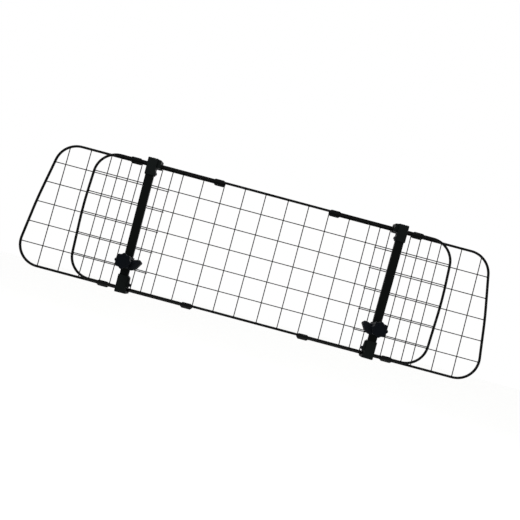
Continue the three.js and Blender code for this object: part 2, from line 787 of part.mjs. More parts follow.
function jawPlate(side, back, front) {
  const hub = prismY(ring(JAW_HUB_RADIUS, 2 * HOLE_SIDES), front, back);
  return hub.add(prismY(jawOutline(side), front, back));
}

function innerJaw(side) {
  const pegPlace = side * GUIDE_PEG_CENTRE;
  const peg = prismY(
    moved(ring(GUIDE_PEG_RADIUS, ROD_SIDES), pegPlace, 0),
    outerJawBack - GUIDE_PEG_ENTRY,
    innerJawFront + JAW_THICKNESS / 2,
  );
  const hole = prismY(
    ring(boltHole, HOLE_SIDES),
    innerJawFront - CUT_OVERRUN,
    innerJawBack + CUT_OVERRUN,
  );
  const bed = groove(side, innerJawFront + GROOVE_DEPTH, innerJawFront);
  return jawPlate(side, innerJawBack, innerJawFront).add(peg).subtract(hole).subtract(bed);
}

function outerJaw(side) {
  const boss = prismY(ring(JAW_BOSS_RADIUS, 2 * HOLE_SIDES), jawBossFront, outerJawFront + JAW_BOSS_HEIGHT);
  const hole = prismY(ring(boltHole, HOLE_SIDES), jawBossFront - CUT_OVERRUN, outerJawBack + CUT_OVERRUN);
  const pegHole = prismY(
    moved(ring(GUIDE_PEG_RADIUS + PIECE_GAP, HOLE_SIDES), side * GUIDE_PEG_CENTRE, 0),
    jawBossFront - CUT_OVERRUN,
    outerJawBack + CUT_OVERRUN,
  );
  const bed = groove(side, outerJawBack - GROOVE_DEPTH, outerJawBack);
  return cut(jawPlate(side, outerJawBack, outerJawFront).add(boss), [hole, pegHole, bed]);
}

function washer() {
  return prismY(ring(WASHER_RADIUS, 2 * HOLE_SIDES), washerFront, washerBack).subtract(
    prismY(ring(boltHole, HOLE_SIDES), washerFront - CUT_OVERRUN, washerBack + CUT_OVERRUN),
  );
}

function nut() {
  const front = knobBack - PIECE_GAP - NUT_HEIGHT;
  const back = knobBack - PIECE_GAP;
  return prismY(ring(BOLT_HEAD_RADIUS, HEX_SIDES), front, back).subtract(
    prismY(ring(boltHole, HOLE_SIDES), front - CUT_OVERRUN, back + CUT_OVERRUN),
  );
}

function knob() {
  const count = KNOB_LOBES * KNOB_POINTS_A_LOBE;
  const core = KNOB_RADIUS - KNOB_LOBE_DEPTH - KNOB_BEVEL;
  const outline = Array.from({ length: count }, (_, i) => {
    const angle = (i / count) * 2 * Math.PI;
    const radius = core + KNOB_LOBE_DEPTH * Math.cos(KNOB_LOBES * angle);
    return [radius * Math.cos(angle), radius * Math.sin(angle)];
  });
  const disc = solidOf(
    new THREE.ExtrudeGeometry(shapeOf(outline), {
      depth: KNOB_THICKNESS - 2 * KNOB_BEVEL,
      bevelSize: KNOB_BEVEL,
      bevelThickness: KNOB_BEVEL,
      bevelSegments: KNOB_BEVEL_STEPS,
    })
      .translate(0, 0, -knobDiscBack + KNOB_BEVEL)
      .applyMatrix4(alongY),
  );
  const hub = prismY(ring(KNOB_HUB_RADIUS, 2 * HOLE_SIDES), knobDiscBack - KNOB_BEVEL, knobBack);
  const nutRoom = prismY(
    ring(BOLT_HEAD_RADIUS + PIECE_GAP, HEX_SIDES),
    knobBack - 2 * PIECE_GAP - NUT_HEIGHT,
    knobBack + CUT_OVERRUN,
  );
  const hole = prismY(ring(boltHole, HOLE_SIDES), knobHoleEnd, knobBack);
  const dish = prismY(
    ring(KNOB_DISH_RADIUS, 2 * HOLE_SIDES),
    knobFront - CUT_OVERRUN,
    knobFront + KNOB_DISH_DEPTH,
  );
  return cut(disc.add(hub), [nutRoom, hole, dish]);
}

function bracket(name, side) {
  const group = new THREE.Group();
  group.position.x = side * bracketPlace;
  group.rotation.y = side * degrees(BRACKET_LEAN_DEG);
  group.add(piece(`${name}_bar`, bar(side), "coated"));
  group.add(piece(`${name}_top_hook`, topHook(side), "moulded"));
  group.add(piece(`${name}_top_screw`, topScrew(side), "plated"));
  group.add(piece(`${name}_bottom_hook`, bottomHook(side), "moulded"));
  group.add(piece(`${name}_thumb_screw`, thumbScrew(side), "moulded"));

  const carriage = new THREE.Group();
  carriage.position.z = sliderCentre;
  carriage.add(piece(`${name}_slider`, slider(), "moulded"));
  carriage.add(piece(`${name}_bolt`, bolt(), "plated"));
  carriage.add(piece(`${name}_washer`, washer(), "plated"));
  carriage.add(piece(`${name}_knob_nut`, nut(), "plated"));
  carriage.add(piece(`${name}_knob`, knob(), "moulded"));
  group.add(carriage);

  const jaws = new THREE.Group();
  jaws.rotation.y = -side * degrees(JAW_SWIVEL_DEG);
  jaws.add(piece(`${name}_inner_jaw`, innerJaw(side), "moulded"));
  jaws.add(piece(`${name}_outer_jaw`, outerJaw(side), "moulded"));
  carriage.add(jaws);
  return group;
}

// The whole guard, moved so that its own middle is the origin
const guard = new THREE.Group();
guard.add(centerPanel());
[
  ["left", -1],
  ["right", 1],
].forEach(([name, side]) => {
  guard.add(piece(`${name}_outer_clip_top`, clip(side * outerClipPlace, -1), "moulded"));
  guard.add(piece(`${name}_outer_clip_bottom`, clip(side * outerClipPlace, 1), "moulded"));
  guard.add(sidePanel(name, side));
  guard.add(bracket(name, side));
});
guard.updateMatrixWorld(true);
const middle = new THREE.Box3().setFromObject(guard, true).getCenter(new THREE.Vector3());
guard.position.sub(middle);

export default guard;
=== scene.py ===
"""A wire-mesh dog guard for a car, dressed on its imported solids.

A middle panel of bent rod and welded wire carries two side panels that draw out
behind it and two bracket bars whose jaws close on the headrest posts. Shapes are
drawn in millimetres in the panel's own frame (+X along the guard, +Z up, the viewer
at -Y) and placed in metres.
"""

import math

import bmesh
import bpy
from mathutils import Matrix, Vector
from mathutils.geometry import convex_hull_2d


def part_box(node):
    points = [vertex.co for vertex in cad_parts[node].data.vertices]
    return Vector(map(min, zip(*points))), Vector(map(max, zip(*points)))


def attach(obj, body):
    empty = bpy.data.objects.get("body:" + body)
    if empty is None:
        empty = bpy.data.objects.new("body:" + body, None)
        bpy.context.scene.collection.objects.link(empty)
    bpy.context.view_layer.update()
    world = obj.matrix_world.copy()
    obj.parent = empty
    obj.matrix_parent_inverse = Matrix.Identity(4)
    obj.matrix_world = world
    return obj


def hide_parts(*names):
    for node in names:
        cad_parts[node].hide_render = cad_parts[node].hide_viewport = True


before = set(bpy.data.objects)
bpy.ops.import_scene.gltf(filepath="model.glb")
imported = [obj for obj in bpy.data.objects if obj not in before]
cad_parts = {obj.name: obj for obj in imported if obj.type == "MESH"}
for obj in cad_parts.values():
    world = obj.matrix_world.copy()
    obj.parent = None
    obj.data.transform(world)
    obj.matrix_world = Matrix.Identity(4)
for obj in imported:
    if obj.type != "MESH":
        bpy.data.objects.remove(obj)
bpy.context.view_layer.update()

# ------------------------------------------------------------ sizes, in millimetres
MM = 0.001

# How solids are made: joined ones overlap, a cutter runs past what it cuts, and
# rounds have these sides where a piece names none of its own
JOIN_OVERLAP = 2.0
CUT_PAST = 1.0
MERGE_GAP = 0.0005
FLAT_WITHIN_DEG = 0.3
SOFTEN_OVER_DEG = 24
SOFT_EDGE_STEPS = 2
SOFT_CORNER_STEPS = 6
ROUND_SIDES = 48
SMALL_ROUND_SIDES = 32
SHARP_OVER_DEG = 32

# Rods
ROD_RADIUS = 2.95
ROD_SIDES = 20
ROD_END_CHAMFER = 0.5
ARC_STEP_DEG = 4.0
ARC_LEAST_STEPS = 6
CORNER_RADIUS = 53.0
BOW_RADIUS = 1000.0

# The butt weld of the closed rod: places along it, and the share of the swell there
BUTT_WELD_SWELL = 0.12
BUTT_WELD_STEPS = ((2.0, 0.0), (0.9, 0.7), (0.0, 1.0), (-0.9, 0.7), (-2.0, 0.0))

# Wires: a welded end sinks into the rod and flares, given as distances from the end
# and how many times the wire's radius it has there
WIRE_RADIUS = 1.15
WIRE_SIDES = 10
WIRE_SHIFT = 0.921
WELD_SINK = 1.55
WELD_STEPS = ((0.0, 1.4), (0.9, 1.4), (1.5, 1.25), (2.2, 1.08), (3.2, 1.0))
PLAIN_END = ((0.0, 1.0),)
BEAD_RADIUS = 1.5
BEAD_FLATNESS = 0.85
BEAD_SEGMENTS = 8
BEAD_RINGS = 6

# Middle panel, from rod centre to rod centre; level wires count from its middle
HALF_HEIGHT = 150.0
ROWS = 6
ROW_PITCH = 2 * HALF_HEIGHT / ROWS
LEVEL_WIRES = (-2, -1, 0, 1, 2)
WIRE_PITCH = 50.0
FIRST_UPRIGHT = 27.2
UPRIGHTS_A_SIDE = 8
CREST_X = 436.0
CREST_Z = 15.0
TOP_CORNER_X = 431.3
BOTTOM_CORNER_X = 427.8

# Side panels
SIDE_PLANE = 6.4
SIDE_TOP = 145.8
SIDE_BOTTOM = -153.4
SIDE_MIDDLE = (SIDE_TOP + SIDE_BOTTOM) / 2
SIDE_ROW_PITCH = (SIDE_TOP - SIDE_BOTTOM) / ROWS
SIDE_ARM_END = 132.0
SIDE_FIRST_UPRIGHT = 253.5
SIDE_UPRIGHTS = 6
SIDE_TOP_CORNER_X = 521.7
SIDE_CREST_X = 546.65
SIDE_CREST_Z = 0.9
SIDE_BOTTOM_CORNER_X = 564.5

# Clips that hold a side rod beside a middle rod
CLIP_LENGTH = 28.0
CLIP_FRONT_REACH = 4.7
CLIP_BACK_REACH = 6.1
CLIP_SIDES = 40
CLIP_TAPER = 4.0
CLIP_EDGE = 0.6
CLIP_BORE = 3.25
CLIP_SLOT_HALF = 1.65
OUTER_CLIP_X = 343.2
INNER_CLIP_X = 141.0

# Bracket bars
BRACKET_X = 298.9
BRACKET_LEAN_DEG = 1.02
BAR_WIDTH = 20.0
BAR_DEPTH = 10.0
BAR_WALL = 1.5
BAR_CORNER = 1.5
BAR_EDGE = 0.3
BAR_Y = -12.0
BAR_TOP = 149.5
BAR_BOTTOM = -151.5

# Hooks at the bar's ends
HOOK_FRONT = -20.0
HOOK_BACK = -3.6
HOOK_HALF = 11.6
HOOK_CHAMFER = 3.0
LIP_FRONT = 10.0
LIP_BACK = 14.0
SOCKET_CLEARANCE = 0.3
SOCKET_END_ROOM = 0.5

# Top hook
EAR_END = 19.3
EAR_FRONT = -15.0
ROOF_UNDER = 153.6
ROOF_TOP = 161.625
TOP_SOCKET_END = 120.2
TOP_LIP_END = 140.2
TOP_SLOPE_START = 9.4
TOP_EAR_TOP = 159.8
TOP_HOOK_EDGE = 0.8
ROOF_GROOVES = (-2.9, 6.5)
ROOF_GROOVE_HALF = 1.2
ROOF_GROOVE_FLOOR_SHARE = 0.6
ROOF_GROOVE_DEPTH = 1.6

# Bottom hook
FLOOR_TOP = -157.0
FLOOR_END = -161.0
BOTTOM_SOCKET_END = -119.0
BOTTOM_LIP_END = -142.0
BOTTOM_HOOK_EDGE = 0.7
FLANGE = 3.4
FLANGE_TOP = -154.0
BOSS_HIGH_SIDE = HOOK_HALF + 3.7
BOSS_LOW_SIDE = HOOK_HALF + 5.2
BOSS_HALF_DEPTH = 5.0
BOSS_END = -145.0

# Button-head screw in the top hook; its head is given as radii and heights over the
# hook's side
TOP_SCREW_Z = 125.8
TOP_SCREW_BORE = 2.3
TOP_SCREW_SIDES = 48
TOP_SCREW_SOCKET = 2.0
TOP_SCREW_SOCKET_SPAN = (2.0, 3.7)
TOP_SCREW_HEAD = ((2.3, 3.8), (3.1, 3.4), (3.7, 2.6), (4.0, 1.5), (4.0, 0.3))
TOP_SCREW_SHANK = ((2.0, HOOK_HALF + 0.3), (2.0, BAR_WIDTH / 2 - BAR_WALL - 0.3))

# Thumb screw in the bottom hook; its head is given as radii and heights over its seat
THUMB_SCREW_Z = -139.5
THUMB_SCREW_BORE = 2.8
THUMB_SCREW_SIDES = 96
THUMB_SCREW_SEAT = BOSS_LOW_SIDE + 0.3
THUMB_SCREW_FACE = ((2.4, 2.5), (2.9, 3.0), (3.4, 3.0))
THUMB_SCREW_RIM = 4.0
THUMB_SCREW_RIM_SPAN = (2.6, 0.4)
THUMB_SCREW_FLUTES = 12
THUMB_SCREW_FLUTE_DEPTH = 0.5
THUMB_SCREW_UNDER = ((3.6, 0.0), (2.5, 0.0))
THUMB_SCREW_TIP = ((2.5, BAR_WIDTH / 2 + 0.6), (2.2, BAR_WIDTH / 2 + 0.3))

# Slider
SLIDER_Z = -87.3
SLIDER_HALF_HEIGHT = 11.0
SLIDER_HALF_WIDTH = 13.0
SLIDER_FRONT = -22.5
SLIDER_BACK = -4.6
SLIDER_CORNER = 2.5
SLIDER_EDGE = 0.9

# Bolt; heights count from the panel's plane towards the viewer
BOLT_RADIUS = 4.0
BOLT_HOLE = 4.3
BOLT_SIDES = 36
BOLT_HEAD = 7.5
BOLT_HEAD_CROWN = 6.9
BOLT_HEAD_CROWN_HEIGHT = 0.35
BOLT_HEAD_ROOM = 0.3
BOLT_HEAD_FROM = 17.6
BOLT_HEAD_TO = 20.3
BOLT_END = 50.6
BOLT_END_CHAMFER = 0.6
THREAD_FROM = 27.0
THREAD_PITCH = 1.25
THREAD_DEPTH = 0.6
THREAD_RINGS_A_TURN = 6

# Jaws: fronts and backs of their plates, and the claw beside the round hub
JAW_SWIVEL_DEG = 40.0
INNER_JAW = (-29.3, -22.8)
OUTER_JAW = (-40.8, -34.3)
JAW_HUB = 15.0
JAW_SIDES = 64
JAW_EDGE = 0.8
JAW_BOSS = 12.0
JAW_BOSS_FRONT = -41.8
JAW_BOSS_EDGE = 0.5
CLAW = (
    (6.0, 13.0),
    (15.0, 25.5),
    (17.0, 27.5),
    (25.0, 27.5),
    (27.0, 25.5),
    (29.0, 9.2),
    (25.0, -2.0),
    (17.0, -6.5),
    (6.0, -13.0),
    (0.0, 0.0),
)
CLAW_STEP = ((17.5, 40), (17.5, -20), (40, -20), (40, 40))
CLAW_STEP_DEPTH = 0.9
GROOVE_AT = 20.0
GROOVE_BED_HALF = 3.0
GROOVE_MOUTH_HALF = 6.0
GROOVE_DEPTH = 3.5
GROOVE_HALF_LENGTH = 30
GUIDE_PEG = 1.8
GUIDE_PEG_BORE = 2.1
GUIDE_PEG_AT = -11.5
GUIDE_PEG_END = -38.8
GUIDE_PEG_ROOT = 3.0
GUIDE_PEG_EDGE = 0.3

# Washer
WASHER = (42.1, 43.3)
WASHER_RADIUS = 8.5
WASHER_CHAMFER = 0.2
WASHER_SIDES = 64

# Knob; its dish is given as distances past the dish's radius and depths in the face
KNOB_BACK = 43.6
KNOB_DISC_BACK = 46.6
KNOB_FRONT = 58.6
KNOB_CORE = 17.3
KNOB_LOBE = 1.3
KNOB_LOBES = 8
KNOB_SIDES_A_LOBE = 16
KNOB_EDGE = 2.2
KNOB_EDGE_STEPS = 5
KNOB_HUB = 9.0
KNOB_HUB_CHAMFER = 0.5
KNOB_HUB_FLARE = 0.4
KNOB_DISH = 11.0
KNOB_DISH_STEPS = ((0.5, 0.0), (0.0, 0.3), (-0.4, 1.0), (-4.0, 1.0))
KNOB_BORE_END = 55.6
NUT_POCKET = 7.8
NUT_POCKET_END = 50.2

# ------------------------------------------------------------ frames
rim_low, rim_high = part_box("center_rim")
PANEL = Matrix.Translation(
    (0, (rim_low.y + rim_high.y) / 2, (rim_low.z + rim_high.z) / 2)
) @ Matrix.Scale(MM, 4)
TOWARDS_VIEWER = Matrix.Rotation(math.radians(90), 4, "X")
SIDEWAYS = Matrix.Rotation(math.radians(90), 4, "Y")
SIDES = (("left", -1), ("right", 1))


def bracket_frame(side):
    """The bar's frame, in which +X points to the guard's middle on both sides."""
    lean = Matrix.Rotation(side * math.radians(BRACKET_LEAN_DEG), 4, "Y")
    inwards = Matrix.Diagonal((-side, 1, 1, 1))
    return PANEL @ Matrix.Translation((side * BRACKET_X, 0, 0)) @ lean @ inwards


def carriage_frame(side):
    return bracket_frame(side) @ Matrix.Translation((0, 0, SLIDER_Z))


def jaw_frame(side):
    return carriage_frame(side) @ Matrix.Rotation(math.radians(JAW_SWIVEL_DEG), 4, "Y")


# ------------------------------------------------------------ finishes
NOISE_SPREAD = (0.3, 0.7)


class Finish:
    """A material whose patterns lie on the piece's own coordinates."""

    def __init__(self, name, specular, metal=0.0):
        self.material = bpy.data.materials.new(name)
        self.material.use_nodes = True
        tree = self.material.node_tree
        self.new = tree.nodes.new
        self.link = tree.links.new
        self.shader = tree.nodes["Principled BSDF"]
        self.shader.inputs["Metallic"].default_value = metal
        self.shader.inputs["Specular IOR Level"].default_value = specular
        self.place = self.new("ShaderNodeTexCoord")

    def pattern(self, kind, **values):
        texture = self.new(kind)
        for name, value in values.items():
            texture.inputs[name].default_value = value
        self.link(self.place.outputs["Object"], texture.inputs["Vector"])
        return texture

    def noise(self, scale, detail, low=0.0, high=1.0):
        """Noise that runs from low to high."""
        texture = self.pattern("ShaderNodeTexNoise", Scale=scale, Detail=detail)
        spread = self.new("ShaderNodeMapRange")
        spread.inputs["From Min"].default_value = NOISE_SPREAD[0]
        spread.inputs["From Max"].default_value = NOISE_SPREAD[1]
        spread.inputs["To Min"].default_value = low
        spread.inputs["To Max"].default_value = high
        self.link(texture.outputs["Fac"], spread.inputs["Value"])
        return spread.outputs["Result"]

    def tint(self, colour, darkest, lightest, scale, detail):
        """Varies the colour between two shares of it."""
        amount = self.noise(scale, detail)
        mix = self.new("ShaderNodeMix")
        mix.data_type = "RGBA"
        mix.inputs["A"].default_value = (*(c * darkest for c in colour), 1)
        mix.inputs["B"].default_value = (*(c * lightest for c in colour), 1)
        self.link(amount, mix.inputs["Factor"])
        self.link(mix.outputs["Result"], self.shader.inputs["Base Color"])

    def gloss(self, smoothest, roughest, scale, detail):
        amount = self.noise(scale, detail, smoothest, roughest)
        self.link(amount, self.shader.inputs["Roughness"])

    def relief(self, height, strength, depth):
        bump = self.new("ShaderNodeBump")
        bump.inputs["Strength"].default_value = strength
        bump.inputs["Distance"].default_value = depth
        self.link(height, bump.inputs["Height"])
        self.link(bump.outputs["Normal"], self.shader.inputs["Normal"])


def powder_coat(name, colour, roughness, specular):
    """Baked powder: an orange-peel skin with slow drifts in colour and gloss."""
    coat = Finish(name, specular)
    coat.tint(colour, darkest=0.8, lightest=1.25, scale=9.0, detail=3.0)
    coat.gloss(roughness - 0.05, roughness + 0.06, scale=130.0, detail=2.0)
    peel = coat.noise(scale=900.0, detail=2.0)
    coat.relief(peel, strength=0.25, depth=0.00012)
    return coat.material


def moulded(name, colour, roughness, specular, grain):
    """Moulded plastic: a spark-eroded grain, and faint flow marks across it."""
    plastic = Finish(name, specular)
    plastic.tint(colour, darkest=0.82, lightest=1.22, scale=34.0, detail=4.0)
    plastic.gloss(roughness - 0.06, roughness + 0.07, scale=260.0, detail=3.0)
    cells = plastic.pattern("ShaderNodeTexVoronoi", Scale=2100.0)
    plastic.relief(cells.outputs["Distance"], strength=grain, depth=0.00008)
    return plastic.material


def plated(name, colour, roughness):
    """Black zinc on steel: fine turning marks and a slightly uneven plate."""
    plate = Finish(name, specular=0.5, metal=0.85)
    plate.tint(colour, darkest=0.7, lightest=1.3, scale=160.0, detail=4.0)
    plate.gloss(roughness - 0.08, roughness + 0.1, scale=700.0, detail=3.0)
    marks = plate.noise(scale=1800.0, detail=2.0)
    plate.relief(marks, strength=0.2, depth=0.00005)
    return plate.material


FINISHES = {
    "rod_coating": powder_coat(
        "rod powder coat", (0.002, 0.0023, 0.0023), roughness=0.42, specular=0.05
    ),
    "wire_coating": powder_coat(
        "wire powder coat", (0.0018, 0.002, 0.002), roughness=0.46, specular=0.04
    ),
    "bar_coating": powder_coat(
        "bar powder coat", (0.0012, 0.0019, 0.0017), roughness=0.5, specular=0.04
    ),
    "clip_plastic": moulded(
        "clip nylon",
        (0.0024, 0.0028, 0.0028),
        roughness=0.55,
        specular=0.055,
        grain=0.3,
    ),
    "hook_plastic": moulded(
        "hook nylon",
        (0.0022, 0.0037, 0.0034),
        roughness=0.55,
        specular=0.06,
        grain=0.35,
    ),
    "jaw_plastic": moulded(
        "jaw nylon",
        (0.0026, 0.0036, 0.0056),
        roughness=0.52,
        specular=0.07,
        grain=0.35,
    ),
    "knob_plastic": moulded(
        "knob plastic",
        (0.001, 0.0019, 0.0036),
        roughness=0.42,
        specular=0.045,
        grain=0.15,
    ),
    "black_zinc": plated("black zinc plate", (0.03, 0.03, 0.033), roughness=0.38),
}


# ------------------------------------------------------------ making and joining solids
def baked(thing):
    """The mesh of an object with its modifiers applied."""
    graph = bpy.context.evaluated_depsgraph_get()
    return bpy.data.meshes.new_from_object(thing.evaluated_get(graph))


def shown(name, data):
    thing = bpy.data.objects.new(name, data)
    bpy.context.scene.collection.objects.link(thing)
    return thing


def mesh_of(shape, name="shape"):
    mesh = bpy.data.meshes.new(name)
    shape.to_mesh(mesh)
    shape.free()
    return mesh


def soften(shape, radius):
    """Rounds the edges where a solid turns sharply."""
    sharp = math.radians(SOFTEN_OVER_DEG)
    edges = [edge for edge in shape.edges if edge.calc_face_angle(0) > sharp]
    bmesh.ops.bevel(
        shape,
        geom=edges,
        offset=radius,
        segments=SOFT_EDGE_STEPS,
        profile=0.5,
        affect="EDGES",
        clamp_overlap=True,
    )


def prism(across, outline, low, high, soft=0.0):
    """A solid with flat ends across one axis; the outline lies in the other two."""
    spots = {
        "x": lambda a, b, c: (c, a, b),
        "y": lambda a, b, c: (a, c, b),
        "z": lambda a, b, c: (a, b, c),
    }[across]
    shape = bmesh.new()
    near = [shape.verts.new(spots(a, b, low)) for a, b in outline]
    far = [shape.verts.new(spots(a, b, high)) for a, b in outline]
    shape.faces.new(near)
    shape.faces.new(far[::-1])
    for i in range(len(outline)):
        shape.faces.new((near[i - 1], near[i], far[i], far[i - 1]))
    bmesh.ops.recalc_face_normals(shape, faces=shape.faces)
    if soft:
        soften(shape, soft)
    return mesh_of(shape)


def circle(radius, sides=ROUND_SIDES, centre=(0.0, 0.0)):
    turns = [2 * math.pi * i / sides for i in range(sides)]
    return [
        (centre[0] + radius * math.cos(t), centre[1] + radius * math.sin(t))
        for t in turns
    ]


def soft_rectangle(half_width, half_depth, corner, middle_y):
    """A rectangle with rounded corners, centred on x = 0."""
    points = []
    for quarter, (sx, sy) in enumerate(((1, 1), (-1, 1), (-1, -1), (1, -1))):
        x = sx * (half_width - corner)
        y = middle_y + sy * (half_depth - corner)
        for i in range(SOFT_CORNER_STEPS + 1):
            turn = math.radians(90) * (quarter + i / SOFT_CORNER_STEPS)
            points.append((x + corner * math.cos(turn), y + corner * math.sin(turn)))
    return points


def carved(whole, added=(), within=(), removed=(), soft=0.0):
    """The whole with solids added, kept within others, and with others cut out."""
    base = shown("whole", whole)
    tools = []
    for operation, meshes in (
        ("UNION", added),
        ("INTERSECT", within),
        ("DIFFERENCE", removed),
    ):
        for mesh in meshes:
            tool = shown("tool", mesh)
            step = base.modifiers.new("step", "BOOLEAN")
            step.operation = operation
            step.solver = "MANIFOLD"
            step.object = tool
            tools.append(tool)
    result = baked(base)
    for thing in (base, *tools):
        bpy.data.objects.remove(thing)
    shape = bmesh.new()
    shape.from_mesh(result)
    bmesh.ops.remove_doubles(shape, verts=shape.verts, dist=MERGE_GAP)
    bmesh.ops.dissolve_limit(
        shape,
        angle_limit=math.radians(FLAT_WITHIN_DEG),
        verts=shape.verts,
        edges=shape.edges,
    )
    if soft:
        soften(shape, soft)
    return mesh_of(shape)


def turned(rings, sides, ring_closed=False):
    """A solid turned about Z; a ring is a radius, or a rule for one, and a height."""
    shape = bmesh.new()
    loops = []
    for radius, height in rings:
        loop = []
        for i in range(sides):
            angle = 2 * math.pi * i / sides
            reach = radius(angle) if callable(radius) else radius
            spot = (reach * math.cos(angle), reach * math.sin(angle), height)
            loop.append(shape.verts.new(spot))
        loops.append(loop)
    pairs = list(zip(loops, loops[1:]))
    if ring_closed:
        pairs.append((loops[-1], loops[0]))
    else:
        shape.faces.new(loops[0])
        shape.faces.new(loops[-1][::-1])
    for low, high in pairs:
        for i in range(sides):
            shape.faces.new((low[i - 1], low[i], high[i], high[i - 1]))
    bmesh.ops.recalc_face_normals(shape, faces=shape.faces)
    return mesh_of(shape)


def hexagon(corner):
    """The radius of a hexagon at an angle, with a corner at angle zero."""

    def radius(angle):
        part = angle % math.radians(60) - math.radians(30)
        return corner * math.cos(math.radians(30)) / math.cos(part)

    return radius


def add_piece(name, mesh, place, body, slot, node):
    """Puts a mesh in its place, gives it its finish and hands it to the frame."""
    mesh.transform(place)
    if place.determinant() < 0:
        mesh.flip_normals()
    mesh.materials.clear()
    mesh.materials.append(FINISHES[slot])
    mesh.shade_smooth()
    mesh.set_sharp_from_angle(angle=math.radians(SHARP_OVER_DEG))
    piece = shown(name, mesh)
    even = piece.modifiers.new("even shading", "WEIGHTED_NORMAL")
    even.keep_sharp = True
    piece.data = baked(piece)
    piece.data.name = name
    piece.modifiers.clear()
    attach(piece, body)
    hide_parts(node)


# ------------------------------------------------------------ bent rods and welded wire
def bend(corners):
    """The centre line of a bent rod: straight runs, with an arc at each corner."""
    line = []
    for i, (x, z, radius) in enumerate(corners):
        here = Vector((x, z))
        if not radius:
            line.append(here)
            continue
        before = (Vector(corners[i - 1][:2]) - here).normalized()
        after = (Vector(corners[(i + 1) % len(corners)][:2]) - here).normalized()
        turn = math.pi - before.angle(after)
        reach = radius * math.tan(turn / 2)
        middle = here + (before + after).normalized() * radius / math.cos(turn / 2)
        start = here + before * reach - middle
        sense = 1 if before.cross(after) < 0 else -1
        steps = max(ARC_LEAST_STEPS, round(math.degrees(turn) / ARC_STEP_DEG))
        for k in range(steps + 1):
            swing = Matrix.Rotation(sense * turn * k / steps, 2)
            line.append(middle + swing @ start)
    return line


def middle_line():
    right = [
        (TOP_CORNER_X, HALF_HEIGHT, CORNER_RADIUS),
        (CREST_X, CREST_Z, BOW_RADIUS),
        (BOTTOM_CORNER_X, -HALF_HEIGHT, CORNER_RADIUS),
    ]
    left = [(-x, z, radius) for x, z, radius in reversed(right)]
    return bend([*right, *left])


def side_line(side):
    corners = [
        (SIDE_ARM_END, SIDE_TOP, 0),
        (SIDE_TOP_CORNER_X, SIDE_TOP, CORNER_RADIUS),
        (SIDE_CREST_X, SIDE_CREST_Z, BOW_RADIUS),
        (SIDE_BOTTOM_CORNER_X, SIDE_BOTTOM, CORNER_RADIUS),
        (SIDE_ARM_END, SIDE_BOTTOM, 0),
    ]
    return bend([(side * x, z, radius) for x, z, radius in corners])


def meets(line, closed, axis, value):
    """Where a straight line across an axis meets a bent rod, lowest and highest."""
    other = 1 - axis
    ends = zip(line, line[1:] + (line[:1] if closed else []))
    found = []
    for a, b in ends:
        if (a[axis] - value) * (b[axis] - value) <= 0 and a[axis] != b[axis]:
            share = (value - a[axis]) / (b[axis] - a[axis])
            found.append(a[other] + share * (b[other] - a[other]))
    return min(found), max(found)


class Strands:
    """Runs of rod or wire, and weld beads, on their way to becoming one mesh."""

    def __init__(self):
        self.spots = []
        self.edges = []
        self.radii = []
        self.beads = []

    def run(self, points, radii, closed=False):
        first = len(self.spots)
        self.spots += points
        self.radii += radii
        self.beads += [0.0] * len(points)
        last = len(self.spots) - 1
        self.edges += [(i, i + 1) for i in range(first, last)]
        if closed:
            self.edges.append((last, first))

    def bead(self, point):
        self.spots.append(point)
        self.radii.append(0.0)
        self.beads.append(BEAD_RADIUS)

    def wire(self, start, end, start_steps=WELD_STEPS):
        """One straight wire; its welded ends flare into the rods they meet."""
        start, end = Vector(start), Vector(end)
        way = (end - start).normalized()
        points = [start + way * along for along, _ in start_steps]
        points += [end - way * along for along, _ in reversed(WELD_STEPS)]
        radii = [swell * WIRE_RADIUS for _, swell in start_steps]
        radii += [swell * WIRE_RADIUS for _, swell in reversed(WELD_STEPS)]
        self.run(points, radii)

    def mesh(self):
        mesh = bpy.data.meshes.new("strands")
        mesh.from_pydata(self.spots, self.edges, [])
        for name, values in (("radius", self.radii), ("bead", self.beads)):
            layer = mesh.attributes.new(name, "FLOAT", "POINT")
            layer.data.foreach_set("value", values)
        return mesh


